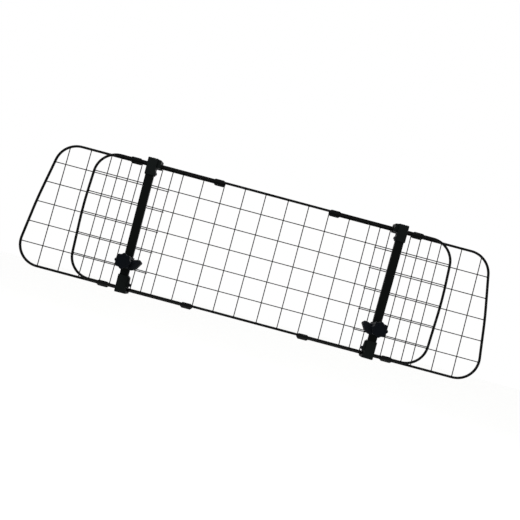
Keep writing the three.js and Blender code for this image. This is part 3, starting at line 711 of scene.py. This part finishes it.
def strand_tree():
    """Sweeps a round along each run at its own radius, and beads each bead point."""
    tree = bpy.data.node_groups.new("rods and welds", "GeometryNodeTree")

    def socket(name, kind, way="INPUT"):
        made = tree.interface.new_socket(
            name, in_out=way, socket_type=f"NodeSocket{kind}"
        )
        return made.identifier

    socket("Strands", "Geometry")
    inputs = [
        socket("Sides", "Int"),
        socket("Flatness", "Float"),
        socket("Finish", "Material"),
    ]
    socket("Mesh", "Geometry", way="OUTPUT")
    add = tree.nodes.new
    link = tree.links.new
    given = add("NodeGroupInput")
    radius = add("GeometryNodeInputNamedAttribute")
    radius.inputs["Name"].default_value = "radius"
    bead = add("GeometryNodeInputNamedAttribute")
    bead.inputs["Name"].default_value = "bead"

    runs = add("GeometryNodeMeshToCurve")
    link(given.outputs["Strands"], runs.inputs["Mesh"])
    round_bar = add("GeometryNodeCurvePrimitiveCircle")
    round_bar.inputs["Radius"].default_value = 1.0
    link(given.outputs["Sides"], round_bar.inputs["Resolution"])
    sweep = add("GeometryNodeCurveToMesh")
    sweep.inputs["Fill Caps"].default_value = True
    link(runs.outputs["Curve"], sweep.inputs["Curve"])
    link(round_bar.outputs["Curve"], sweep.inputs["Profile Curve"])
    link(radius.outputs["Attribute"], sweep.inputs["Scale"])

    has_bead = add("FunctionNodeCompare")
    has_bead.operation = "GREATER_THAN"
    link(bead.outputs["Attribute"], has_bead.inputs["A"])
    blob = add("GeometryNodeMeshUVSphere")
    blob.inputs["Segments"].default_value = BEAD_SEGMENTS
    blob.inputs["Rings"].default_value = BEAD_RINGS
    blob.inputs["Radius"].default_value = 1.0
    size = add("ShaderNodeCombineXYZ")
    depth = add("ShaderNodeMath")
    depth.operation = "MULTIPLY"
    link(bead.outputs["Attribute"], depth.inputs[0])
    link(given.outputs["Flatness"], depth.inputs[1])
    link(bead.outputs["Attribute"], size.inputs["X"])
    link(depth.outputs["Value"], size.inputs["Y"])
    link(bead.outputs["Attribute"], size.inputs["Z"])
    beads = add("GeometryNodeInstanceOnPoints")
    link(given.outputs["Strands"], beads.inputs["Points"])
    link(has_bead.outputs["Result"], beads.inputs["Selection"])
    link(blob.outputs["Mesh"], beads.inputs["Instance"])
    link(size.outputs["Vector"], beads.inputs["Scale"])

    together = add("GeometryNodeJoinGeometry")
    link(sweep.outputs["Mesh"], together.inputs["Geometry"])
    link(beads.outputs["Instances"], together.inputs["Geometry"])
    real = add("GeometryNodeRealizeInstances")
    link(together.outputs["Geometry"], real.inputs["Geometry"])
    painted = add("GeometryNodeSetMaterial")
    link(real.outputs["Geometry"], painted.inputs["Geometry"])
    link(given.outputs["Finish"], painted.inputs["Material"])
    made = add("NodeGroupOutput")
    link(painted.outputs["Geometry"], made.inputs["Mesh"])
    return tree, inputs


STRAND_TREE, (SIDES_INPUT, FLATNESS_INPUT, FINISH_INPUT) = strand_tree()


def swept(strands, sides, slot):
    """The plain mesh that the tree makes of some strands."""
    thing = shown("strands", strands.mesh())
    maker = thing.modifiers.new("rods and welds", "NODES")
    maker.node_group = STRAND_TREE
    maker[SIDES_INPUT] = sides
    maker[FLATNESS_INPUT] = BEAD_FLATNESS
    maker[FINISH_INPUT] = FINISHES[slot]
    mesh = baked(thing)
    bpy.data.objects.remove(thing)
    for name in ("radius", "bead"):
        if name in mesh.attributes:
            mesh.attributes.remove(mesh.attributes[name])
    return mesh


def rod_mesh(line, plane, closed):
    """One bent rod; a closed one is butt-welded at the middle of its bottom run."""
    points = [(p.x, plane, p.y) for p in line]
    radii = [ROD_RADIUS] * len(points)
    if closed:
        low = next(i for i, p in enumerate(line) if p.x < 0 and p.y < 0)
        z = line[low].y
        points[low:low] = [(along, plane, z) for along, _ in BUTT_WELD_STEPS]
        radii[low:low] = [
            ROD_RADIUS + BUTT_WELD_SWELL * share for _, share in BUTT_WELD_STEPS
        ]
    else:
        start, end = Vector(points[0]), Vector(points[-1])
        start_way = (Vector(points[1]) - start).normalized() * ROD_END_CHAMFER
        end_way = (Vector(points[-2]) - end).normalized() * ROD_END_CHAMFER
        points = [start, start + start_way, *points[1:-1], end + end_way, end]
        worn = ROD_RADIUS - ROD_END_CHAMFER
        radii = [worn, *radii, worn]
    strands = Strands()
    strands.run([tuple(p) for p in points], radii, closed)
    return swept(strands, ROD_SIDES, "rod_coating")


def net_mesh(line, plane, closed, uprights, levels, free_end=None):
    """Welded wire in a bent rod: uprights on the viewer's side, level wires behind."""
    inset = ROD_RADIUS - WELD_SINK
    strands = Strands()
    for x in uprights:
        low, high = meets(line, closed, 0, x)
        y = plane - WIRE_SHIFT
        strands.wire((x, y, low + inset), (x, y, high - inset))
    for z in levels:
        low, high = meets(line, closed, 1, z)
        y = plane + WIRE_SHIFT
        if free_end is None:
            strands.wire((low + inset, y, z), (high - inset, y, z))
        else:
            outer = max((low, high), key=abs)
            outer -= math.copysign(inset, outer)
            strands.wire((free_end, y, z), (outer, y, z), start_steps=PLAIN_END)
        for x in uprights:
            strands.bead((x, plane, z))
    return swept(strands, WIRE_SIDES, "wire_coating")


def add_middle_panel():
    line = middle_line()
    rod = rod_mesh(line, 0, closed=True)
    add_piece(
        "middle_frame_rod", rod, PANEL, "center_panel", "rod_coating", "center_rim"
    )
    places = [FIRST_UPRIGHT + i * WIRE_PITCH for i in range(UPRIGHTS_A_SIDE)]
    uprights = [-x for x in places] + places
    levels = [i * ROW_PITCH for i in LEVEL_WIRES]
    net = net_mesh(line, 0, True, uprights, levels)
    add_piece(
        "middle_wire_net", net, PANEL, "center_panel", "wire_coating", "center_mesh"
    )


def add_side_panel(name, side):
    line = side_line(side)
    body = f"{name}_side_panel"
    rod = rod_mesh(line, SIDE_PLANE, closed=False)
    add_piece(
        f"{name}_frame_rod", rod, PANEL, body, "rod_coating", f"{name}_panel_rim"
    )
    uprights = [
        side * (SIDE_FIRST_UPRIGHT + i * WIRE_PITCH) for i in range(SIDE_UPRIGHTS)
    ]
    levels = [SIDE_MIDDLE + i * SIDE_ROW_PITCH for i in LEVEL_WIRES]
    free_end = side * (SIDE_FIRST_UPRIGHT - 2 * WIRE_RADIUS)
    net = net_mesh(line, SIDE_PLANE, False, uprights, levels, free_end)
    add_piece(
        f"{name}_wire_net", net, PANEL, body, "wire_coating", f"{name}_panel_mesh"
    )


# ------------------------------------------------------------ clips
def clip_mesh(place, top):
    """A moulded clip round two rods, open towards the wires that end on them."""
    if top:
        rails = ((0.0, HALF_HEIGHT), (SIDE_PLANE, SIDE_TOP))
    else:
        rails = ((0.0, -HALF_HEIGHT), (SIDE_PLANE, SIDE_BOTTOM))
    (y0, z0), (y1, z1) = rails
    rings = circle(CLIP_FRONT_REACH, CLIP_SIDES, rails[0])
    rings += circle(CLIP_BACK_REACH, CLIP_SIDES, rails[1])
    outline = [rings[i] for i in convex_hull_2d(rings)]
    left, right = place - CLIP_LENGTH / 2, place + CLIP_LENGTH / 2
    body = prism("x", outline, left, right, soft=CLIP_EDGE)
    high = max(z0 + CLIP_FRONT_REACH, z1 + CLIP_BACK_REACH)
    low = min(z0 - CLIP_FRONT_REACH, z1 - CLIP_BACK_REACH)
    taper = [
        (left, low + CLIP_TAPER),
        (left + CLIP_TAPER, low),
        (right - CLIP_TAPER, low),
        (right, low + CLIP_TAPER),
        (right, high - CLIP_TAPER),
        (right - CLIP_TAPER, high),
        (left + CLIP_TAPER, high),
        (left, high - CLIP_TAPER),
    ]
    depths = (y0 - CLIP_FRONT_REACH - CUT_PAST, y1 + CLIP_BACK_REACH + CUT_PAST)
    tapered = prism("y", taper, *depths, soft=CLIP_EDGE)
    mouth = low - CUT_PAST if top else high + CUT_PAST
    ends = (left - CUT_PAST, right + CUT_PAST)
    cutters = []
    for y, z in rails:
        cutters.append(prism("x", circle(CLIP_BORE, CLIP_SIDES, (y, z)), *ends))
        slot = [
            (y - WIRE_SHIFT - CLIP_SLOT_HALF, z),
            (y - WIRE_SHIFT + CLIP_SLOT_HALF, z),
            (y - WIRE_SHIFT + CLIP_SLOT_HALF, mouth),
            (y - WIRE_SHIFT - CLIP_SLOT_HALF, mouth),
        ]
        cutters.append(prism("x", slot, *ends))
    return carved(body, within=[tapered], removed=cutters)


def add_clips():
    for name, side in SIDES:
        kinds = (
            ("middle_clip", OUTER_CLIP_X, "center_panel", "outer_clip"),
            ("arm_clip", INNER_CLIP_X, f"{name}_side_panel", "inner_clip"),
        )
        for end in ("top", "bottom"):
            for piece, x, body, node in kinds:
                add_piece(
                    f"{name}_{piece}_{end}",
                    clip_mesh(side * x, end == "top"),
                    PANEL,
                    body,
                    "clip_plastic",
                    f"{name}_{node}_{end}",
                )


# ------------------------------------------------------------ bars and hooks
def screw_bore(radius, z, end):
    """A cutter from the bar's middle out to the side on which the screw sits."""
    return prism("x", circle(radius, SMALL_ROUND_SIDES, (BAR_Y, z)), 0, end)


def bar_mesh():
    outer = soft_rectangle(BAR_WIDTH / 2, BAR_DEPTH / 2, BAR_CORNER, BAR_Y)
    bore = soft_rectangle(
        BAR_WIDTH / 2 - BAR_WALL, BAR_DEPTH / 2 - BAR_WALL, BAR_CORNER / 2, BAR_Y
    )
    return carved(
        prism("z", outer, BAR_BOTTOM, BAR_TOP, soft=BAR_EDGE),
        removed=[
            prism("z", bore, BAR_BOTTOM - CUT_PAST, BAR_TOP + CUT_PAST),
            screw_bore(TOP_SCREW_BORE, TOP_SCREW_Z, BAR_WIDTH),
        ],
    )


def bar_socket(low, high):
    outline = soft_rectangle(
        BAR_WIDTH / 2 + SOCKET_CLEARANCE,
        BAR_DEPTH / 2 + SOCKET_CLEARANCE,
        BAR_CORNER,
        BAR_Y,
    )
    return prism("z", outline, low, high)


def top_hook_mesh():
    """The cap over the bar's top, with an ear at its side and a lip behind the rods."""
    lip = [
        (HOOK_BACK, ROOF_UNDER),
        (LIP_FRONT, ROOF_UNDER),
        (LIP_FRONT, TOP_LIP_END),
        (LIP_BACK, TOP_LIP_END),
        (LIP_BACK, ROOF_TOP - HOOK_CHAMFER),
        (LIP_BACK - HOOK_CHAMFER, ROOF_TOP),
    ]

    def hooked(front, bottom):
        return [
            (front, bottom),
            (HOOK_BACK, bottom),
            *lip,
            (front + HOOK_CHAMFER, ROOF_TOP),
            (front, ROOF_TOP - HOOK_CHAMFER),
        ]

    cap = hooked(HOOK_FRONT, TOP_SOCKET_END)
    ear = hooked(EAR_FRONT, TOP_LIP_END)
    slope = [
        (TOP_SLOPE_START, ROOF_TOP),
        (EAR_END, TOP_EAR_TOP),
        (EAR_END + CUT_PAST, TOP_EAR_TOP),
        (EAR_END + CUT_PAST, ROOF_TOP + CUT_PAST),
        (TOP_SLOPE_START, ROOF_TOP + CUT_PAST),
    ]
    across = (HOOK_FRONT - CUT_PAST, LIP_BACK + CUT_PAST)
    body = carved(
        prism("x", cap, -HOOK_HALF, HOOK_HALF),
        added=[prism("x", ear, HOOK_HALF - JOIN_OVERLAP, EAR_END)],
        removed=[prism("y", slope, *across)],
        soft=TOP_HOOK_EDGE,
    )
    cutters = [
        bar_socket(TOP_SOCKET_END - CUT_PAST, BAR_TOP + SOCKET_END_ROOM),
        screw_bore(TOP_SCREW_BORE, TOP_SCREW_Z, HOOK_HALF + CUT_PAST),
    ]
    floor_half = ROOF_GROOVE_HALF * ROOF_GROOVE_FLOOR_SHARE
    for at in ROOF_GROOVES:
        notch = [
            (at - ROOF_GROOVE_HALF, ROOF_TOP + CUT_PAST),
            (at - floor_half, ROOF_TOP - ROOF_GROOVE_DEPTH),
            (at + floor_half, ROOF_TOP - ROOF_GROOVE_DEPTH),
            (at + ROOF_GROOVE_HALF, ROOF_TOP + CUT_PAST),
        ]
        cutters.append(prism("y", notch, *across))
    return carved(body, removed=cutters)


def bottom_hook_mesh():
    """The foot under the bar's end: a trough for the rods and a boss for its screw."""
    trough = [
        (HOOK_FRONT + HOOK_CHAMFER, FLOOR_END),
        (LIP_BACK - HOOK_CHAMFER, FLOOR_END),
        (LIP_BACK, FLOOR_END + HOOK_CHAMFER),
        (LIP_BACK, BOTTOM_LIP_END),
        (LIP_FRONT, BOTTOM_LIP_END),
        (LIP_FRONT, FLOOR_TOP),
        (HOOK_BACK, FLOOR_TOP),
    ]
    socket = [
        (HOOK_FRONT, BOTTOM_SOCKET_END),
        (HOOK_FRONT, FLOOR_END + HOOK_CHAMFER),
        *trough,
        (HOOK_BACK, BOTTOM_SOCKET_END),
    ]
    flange = [
        (HOOK_FRONT, FLANGE_TOP),
        (HOOK_FRONT, FLOOR_END + HOOK_CHAMFER),
        *trough[:3],
        (LIP_BACK, FLANGE_TOP),
        (LIP_FRONT, FLANGE_TOP),
        (LIP_FRONT, FLOOR_TOP),
        (HOOK_BACK, FLOOR_TOP),
        (HOOK_BACK, FLANGE_TOP),
    ]
    root = HOOK_HALF - JOIN_OVERLAP
    boss = [
        (root, BOTTOM_SOCKET_END),
        (BOSS_HIGH_SIDE, BOTTOM_SOCKET_END - HOOK_CHAMFER),
        (BOSS_LOW_SIDE, THUMB_SCREW_Z),
        (BOSS_LOW_SIDE, BOSS_END),
        (root, BOSS_END),
    ]
    body = carved(
        prism("x", socket, -HOOK_HALF, HOOK_HALF),
        added=[
            prism("x", flange, root, HOOK_HALF + FLANGE),
            prism("y", boss, BAR_Y - BOSS_HALF_DEPTH, BAR_Y + BOSS_HALF_DEPTH),
        ],
        soft=BOTTOM_HOOK_EDGE,
    )
    return carved(
        body,
        removed=[
            bar_socket(BAR_BOTTOM - SOCKET_END_ROOM, BOTTOM_SOCKET_END + CUT_PAST),
            screw_bore(THUMB_SCREW_BORE, THUMB_SCREW_Z, BOSS_LOW_SIDE + CUT_PAST),
        ],
    )


def top_screw_mesh():
    """A button-head screw with a hexagon socket."""
    socket = hexagon(TOP_SCREW_SOCKET)
    head = [(socket, height) for height in TOP_SCREW_SOCKET_SPAN]
    head += TOP_SCREW_HEAD
    rings = [(radius, HOOK_HALF + height) for radius, height in head]
    return turned([*rings, *TOP_SCREW_SHANK], TOP_SCREW_SIDES)


def thumb_screw_mesh():
    """A fluted thumb screw."""

    def fluted(angle):
        wave = 1 - math.cos(THUMB_SCREW_FLUTES * angle)
        return THUMB_SCREW_RIM - THUMB_SCREW_FLUTE_DEPTH / 2 * wave

    rim = [(fluted, height) for height in THUMB_SCREW_RIM_SPAN]
    head = [*THUMB_SCREW_FACE, *rim, *THUMB_SCREW_UNDER]
    rings = [(radius, THUMB_SCREW_SEAT + height) for radius, height in head]
    return turned([*rings, *THUMB_SCREW_TIP], THUMB_SCREW_SIDES)


# ------------------------------------------------------------ slider, jaws and knob
def slider_mesh():
    depth = SLIDER_BACK - SLIDER_FRONT
    middle = SLIDER_FRONT + depth / 2
    outline = soft_rectangle(SLIDER_HALF_WIDTH, depth / 2, SLIDER_CORNER, middle)
    rise = SLIDER_HALF_HEIGHT
    head_room = circle(BOLT_HEAD + BOLT_HEAD_ROOM, 6)
    return carved(
        prism("z", outline, -rise, rise, soft=SLIDER_EDGE),
        removed=[
            bar_socket(-rise - CUT_PAST, rise + CUT_PAST),
            prism(
                "y", head_room, -BOLT_HEAD_TO - BOLT_HEAD_ROOM, BAR_Y - BAR_DEPTH / 2
            ),
            prism("y", circle(BOLT_HOLE), SLIDER_FRONT - CUT_PAST, BAR_Y),
        ],
    )


def jaw_groove(bed, face):
    """The trough for the post, upright in the jaw's own frame."""
    past = face + math.copysign(CUT_PAST, face - bed)
    outline = [
        (GROOVE_AT - GROOVE_BED_HALF, bed),
        (GROOVE_AT + GROOVE_BED_HALF, bed),
        (GROOVE_AT + GROOVE_MOUTH_HALF, face),
        (GROOVE_AT + GROOVE_MOUTH_HALF, past),
        (GROOVE_AT - GROOVE_MOUTH_HALF, past),
        (GROOVE_AT - GROOVE_MOUTH_HALF, face),
    ]
    return prism("z", outline, -GROOVE_HALF_LENGTH, GROOVE_HALF_LENGTH)


def jaw_plate(front, back):
    """The round hub and the claw beside it, as one moulded plate."""
    return carved(
        prism("y", circle(JAW_HUB, JAW_SIDES), front, back),
        added=[prism("y", CLAW, front, back)],
        soft=JAW_EDGE,
    )


def inner_jaw_mesh():
    front, back = INNER_JAW
    peg = circle(GUIDE_PEG, SMALL_ROUND_SIDES, (GUIDE_PEG_AT, 0))
    peg_root = front + GUIDE_PEG_ROOT
    return carved(
        jaw_plate(front, back),
        added=[prism("y", peg, GUIDE_PEG_END, peg_root, soft=GUIDE_PEG_EDGE)],
        removed=[
            prism("y", circle(BOLT_HOLE), front - CUT_PAST, back + CUT_PAST),
            jaw_groove(front + GROOVE_DEPTH, front),
        ],
    )


def outer_jaw_mesh():
    front, back = OUTER_JAW
    boss = circle(JAW_BOSS, JAW_SIDES)
    peg_bore = circle(GUIDE_PEG_BORE, SMALL_ROUND_SIDES, (GUIDE_PEG_AT, 0))
    through = (JAW_BOSS_FRONT - CUT_PAST, back + CUT_PAST)
    boss_span = (JAW_BOSS_FRONT, front + CUT_PAST)
    return carved(
        jaw_plate(front, back),
        added=[prism("y", boss, *boss_span, soft=JAW_BOSS_EDGE)],
        removed=[
            prism("y", circle(BOLT_HOLE), *through),
            prism("y", peg_bore, *through),
            prism("y", CLAW_STEP, front - 2 * CUT_PAST, front + CLAW_STEP_DEPTH),
            jaw_groove(back - GROOVE_DEPTH, back),
        ],
    )


def bolt_mesh():
    """A hexagon-head bolt with its thread cut where the knob's nut runs."""
    head = hexagon(BOLT_HEAD)

    def crown(angle):
        return min(head(angle), BOLT_HEAD_CROWN)

    def threaded(height, depth):
        def radius(angle):
            turn = (height / THREAD_PITCH - angle / (2 * math.pi)) % 1
            return BOLT_RADIUS - depth * abs(2 * turn - 1)

        return radius

    rings = [
        (crown, BOLT_HEAD_FROM),
        (head, BOLT_HEAD_FROM + BOLT_HEAD_CROWN_HEIGHT),
        (head, BOLT_HEAD_TO),
        (BOLT_RADIUS, BOLT_HEAD_TO),
        (BOLT_RADIUS, THREAD_FROM),
    ]
    step = THREAD_PITCH / THREAD_RINGS_A_TURN
    count = int((BOLT_END - BOLT_END_CHAMFER - THREAD_FROM) / step)
    for i in range(1, count + 1):
        height = THREAD_FROM + i * step
        depth = THREAD_DEPTH * min(1, i / THREAD_RINGS_A_TURN)
        rings.append((threaded(height, depth), height))
    rings.append((BOLT_RADIUS - THREAD_DEPTH, BOLT_END))
    return turned(rings, BOLT_SIDES)


def washer_mesh():
    low, high = WASHER
    return turned(
        [
            (BOLT_HOLE, low),
            (WASHER_RADIUS - WASHER_CHAMFER, low),
            (WASHER_RADIUS, low + WASHER_CHAMFER),
            (WASHER_RADIUS, high - WASHER_CHAMFER),
            (WASHER_RADIUS - WASHER_CHAMFER, high),
            (BOLT_HOLE, high),
        ],
        WASHER_SIDES,
        ring_closed=True,
    )


def knob_mesh():
    """A hand knob with eight lobes, a dished face, and a hub that takes the nut."""

    def lobed(core):
        return lambda angle: core + KNOB_LOBE * math.cos(KNOB_LOBES * angle)

    pocket = hexagon(NUT_POCKET)
    rings = [
        (BOLT_HOLE, KNOB_BORE_END),
        (BOLT_HOLE, NUT_POCKET_END),
        (pocket, NUT_POCKET_END),
        (pocket, KNOB_BACK),
        (KNOB_HUB - KNOB_HUB_CHAMFER, KNOB_BACK),
        (KNOB_HUB, KNOB_BACK + KNOB_HUB_CHAMFER),
        (KNOB_HUB, KNOB_DISC_BACK - KNOB_HUB_FLARE),
        (KNOB_HUB + KNOB_HUB_FLARE, KNOB_DISC_BACK),
    ]
    turns = [
        math.radians(90) * i / KNOB_EDGE_STEPS for i in range(KNOB_EDGE_STEPS + 1)
    ]
    by_sine = [KNOB_EDGE * (1 - math.sin(turn)) for turn in turns]
    by_cosine = [KNOB_EDGE * (1 - math.cos(turn)) for turn in turns]
    for sunk, risen in zip(by_sine, by_cosine):
        rings.append((lobed(KNOB_CORE - sunk), KNOB_DISC_BACK + risen))
    for risen, sunk in zip(by_sine, by_cosine):
        rings.append((lobed(KNOB_CORE - sunk), KNOB_FRONT - risen))
    rings += [(KNOB_DISH + past, KNOB_FRONT - deep) for past, deep in KNOB_DISH_STEPS]
    return turned(rings, KNOB_LOBES * KNOB_SIDES_A_LOBE)


def add_bracket(name, side):
    """All pieces of one bracket, each on the body that carries it."""
    bar = bracket_frame(side)
    carriage = carriage_frame(side)
    jaws = jaw_frame(side)
    button = bar @ Matrix.Translation((0, BAR_Y, TOP_SCREW_Z)) @ SIDEWAYS
    thumb = bar @ Matrix.Translation((0, BAR_Y, THUMB_SCREW_Z)) @ SIDEWAYS
    bolt = carriage @ TOWARDS_VIEWER
    coat, hook, jaw = "bar_coating", "hook_plastic", "jaw_plastic"
    grip, zinc = "knob_plastic", "black_zinc"
    pieces = (
        ("tube_bar", bar_mesh, bar, "bracket", coat, "bar"),
        ("rail_hook", top_hook_mesh, bar, "bracket", hook, "top_hook"),
        ("button_screw", top_screw_mesh, button, "bracket", zinc, "top_screw"),
        ("foot_hook", bottom_hook_mesh, bar, "foot", hook, "bottom_hook"),
        ("fluted_screw", thumb_screw_mesh, thumb, "foot_lock", grip, "thumb_screw"),
        ("slide_block", slider_mesh, carriage, "carriage", jaw, "slider"),
        ("threaded_bolt", bolt_mesh, bolt, "carriage", zinc, "bolt"),
        ("back_jaw", inner_jaw_mesh, jaws, "fixed_jaw", jaw, "inner_jaw"),
        ("front_jaw", outer_jaw_mesh, jaws, "moving_jaw", jaw, "outer_jaw"),
        ("plain_washer", washer_mesh, bolt, "moving_jaw", zinc, "washer"),
        ("lobed_knob", knob_mesh, bolt, "hand_knob", grip, "knob"),
    )
    for piece, make, place, body, slot, node in pieces:
        add_piece(
            f"{name}_{piece}", make(), place, f"{name}_{body}", slot, f"{name}_{node}"
        )
    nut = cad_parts[f"{name}_knob_nut"]
    nut.data.materials.clear()
    nut.data.materials.append(FINISHES[zinc])


# ------------------------------------------------------------ studio and camera, metres
CAMERA_DISTANCE = 1.2
CAMERA_TILT_DEG = 1.916
CAMERA_ROLL_DEG = 14.98
PIXEL_AT_GUARD = 0.002345
CAMERA_NUDGE = (-1.11 * PIXEL_AT_GUARD, -1.51 * PIXEL_AT_GUARD)
LENS_MM = 35.4
SENSOR_MM = 36
WHITE = (1, 1, 1, 1)
WORLD_LIGHT = 0.5
FLOOR_LEVEL = -0.62
FLOOR_HALF = 6.0
FLOOR_COLOUR = (0.82, 0.82, 0.81, 1)
FLOOR_ROUGHNESS = 0.9
FLOOR_SPECULAR = 0.1
FLOOR_GLOW = 0.55
LAMPS = (
    # name, place, width of its disc, power
    ("soft key", (-0.9, -1.4, 1.2), 1.2, 14),
    ("soft fill", (1.3, -1.1, 0.3), 1.0, 5),
    ("soft back", (0.2, 1.5, 1.0), 1.2, 8),
)


def seen_directly(nodes, links):
    """1 for camera, mirror and glass rays, which should meet a white background."""
    paths = nodes.new("ShaderNodeLightPath")
    total = paths.outputs["Is Camera Ray"]
    for kind in ("Is Glossy Ray", "Is Transmission Ray"):
        either = nodes.new("ShaderNodeMath")
        either.operation = "MAXIMUM"
        links.new(total, either.inputs[0])
        links.new(paths.outputs[kind], either.inputs[1])
        total = either.outputs["Value"]
    return total


def add_world():
    world = bpy.data.worlds.new("studio")
    bpy.context.scene.world = world
    world.use_nodes = True
    nodes, links = world.node_tree.nodes, world.node_tree.links
    level = nodes.new("ShaderNodeMapRange")
    level.inputs["To Min"].default_value = WORLD_LIGHT
    level.inputs["To Max"].default_value = 1.0
    links.new(seen_directly(nodes, links), level.inputs["Value"])
    links.new(level.outputs["Result"], nodes["Background"].inputs["Strength"])
    nodes["Background"].inputs["Color"].default_value = WHITE


def add_floor():
    material = bpy.data.materials.new("pale floor")
    material.use_nodes = True
    nodes, links = material.node_tree.nodes, material.node_tree.links
    shader = nodes["Principled BSDF"]
    shader.inputs["Base Color"].default_value = FLOOR_COLOUR
    shader.inputs["Roughness"].default_value = FLOOR_ROUGHNESS
    shader.inputs["Specular IOR Level"].default_value = FLOOR_SPECULAR
    glow = nodes.new("ShaderNodeMapRange")
    glow.inputs["To Max"].default_value = FLOOR_GLOW
    links.new(seen_directly(nodes, links), glow.inputs["Value"])
    shader.inputs["Emission Color"].default_value = WHITE
    links.new(glow.outputs["Result"], shader.inputs["Emission Strength"])
    corners = ((-1, -1), (1, -1), (1, 1), (-1, 1))
    spots = [(x * FLOOR_HALF, y * FLOOR_HALF, FLOOR_LEVEL) for x, y in corners]
    shape = bmesh.new()
    shape.faces.new([shape.verts.new(spot) for spot in spots])
    mesh = mesh_of(shape, "floor")
    mesh.materials.append(material)
    shown("floor", mesh)


def add_lamps():
    """Soft discs of light, all aimed at the origin."""
    for name, place, size, power in LAMPS:
        light = bpy.data.lights.new(name, "AREA")
        light.shape = "DISK"
        light.size = size
        light.energy = power
        aim = (-Vector(place)).to_track_quat("-Z", "Y").to_matrix().to_4x4()
        shown(name, light).matrix_world = Matrix.Translation(place) @ aim


def add_camera():
    """The photograph's view: square on, a little from below, rolled to its slant."""
    tilt = math.radians(CAMERA_TILT_DEG)
    roll = math.radians(CAMERA_ROLL_DEG)
    forward = Vector((0, math.cos(tilt), math.sin(tilt)))
    level = Vector((1, 0, 0))
    up = Vector((0, -math.sin(tilt), math.cos(tilt)))
    right = level * math.cos(roll) + up * math.sin(roll)
    above = up * math.cos(roll) - level * math.sin(roll)
    place = PANEL.translation - forward * CAMERA_DISTANCE
    place += right * CAMERA_NUDGE[0] + above * CAMERA_NUDGE[1]
    data = bpy.data.cameras.new("photo camera")
    data.lens = LENS_MM
    data.sensor_width = SENSOR_MM
    camera = shown("photo camera", data)
    turn = Matrix((right, above, -forward)).transposed().to_4x4()
    camera.matrix_world = Matrix.Translation(place) @ turn
    bpy.context.scene.camera = camera


# ------------------------------------------------------------ the whole scene
add_middle_panel()
add_clips()
for side_name, side_sign in SIDES:
    add_side_panel(side_name, side_sign)
    add_bracket(side_name, side_sign)

add_world()
add_floor()
add_lamps()
add_camera()
bpy.context.scene.view_settings.view_transform = "Standard"
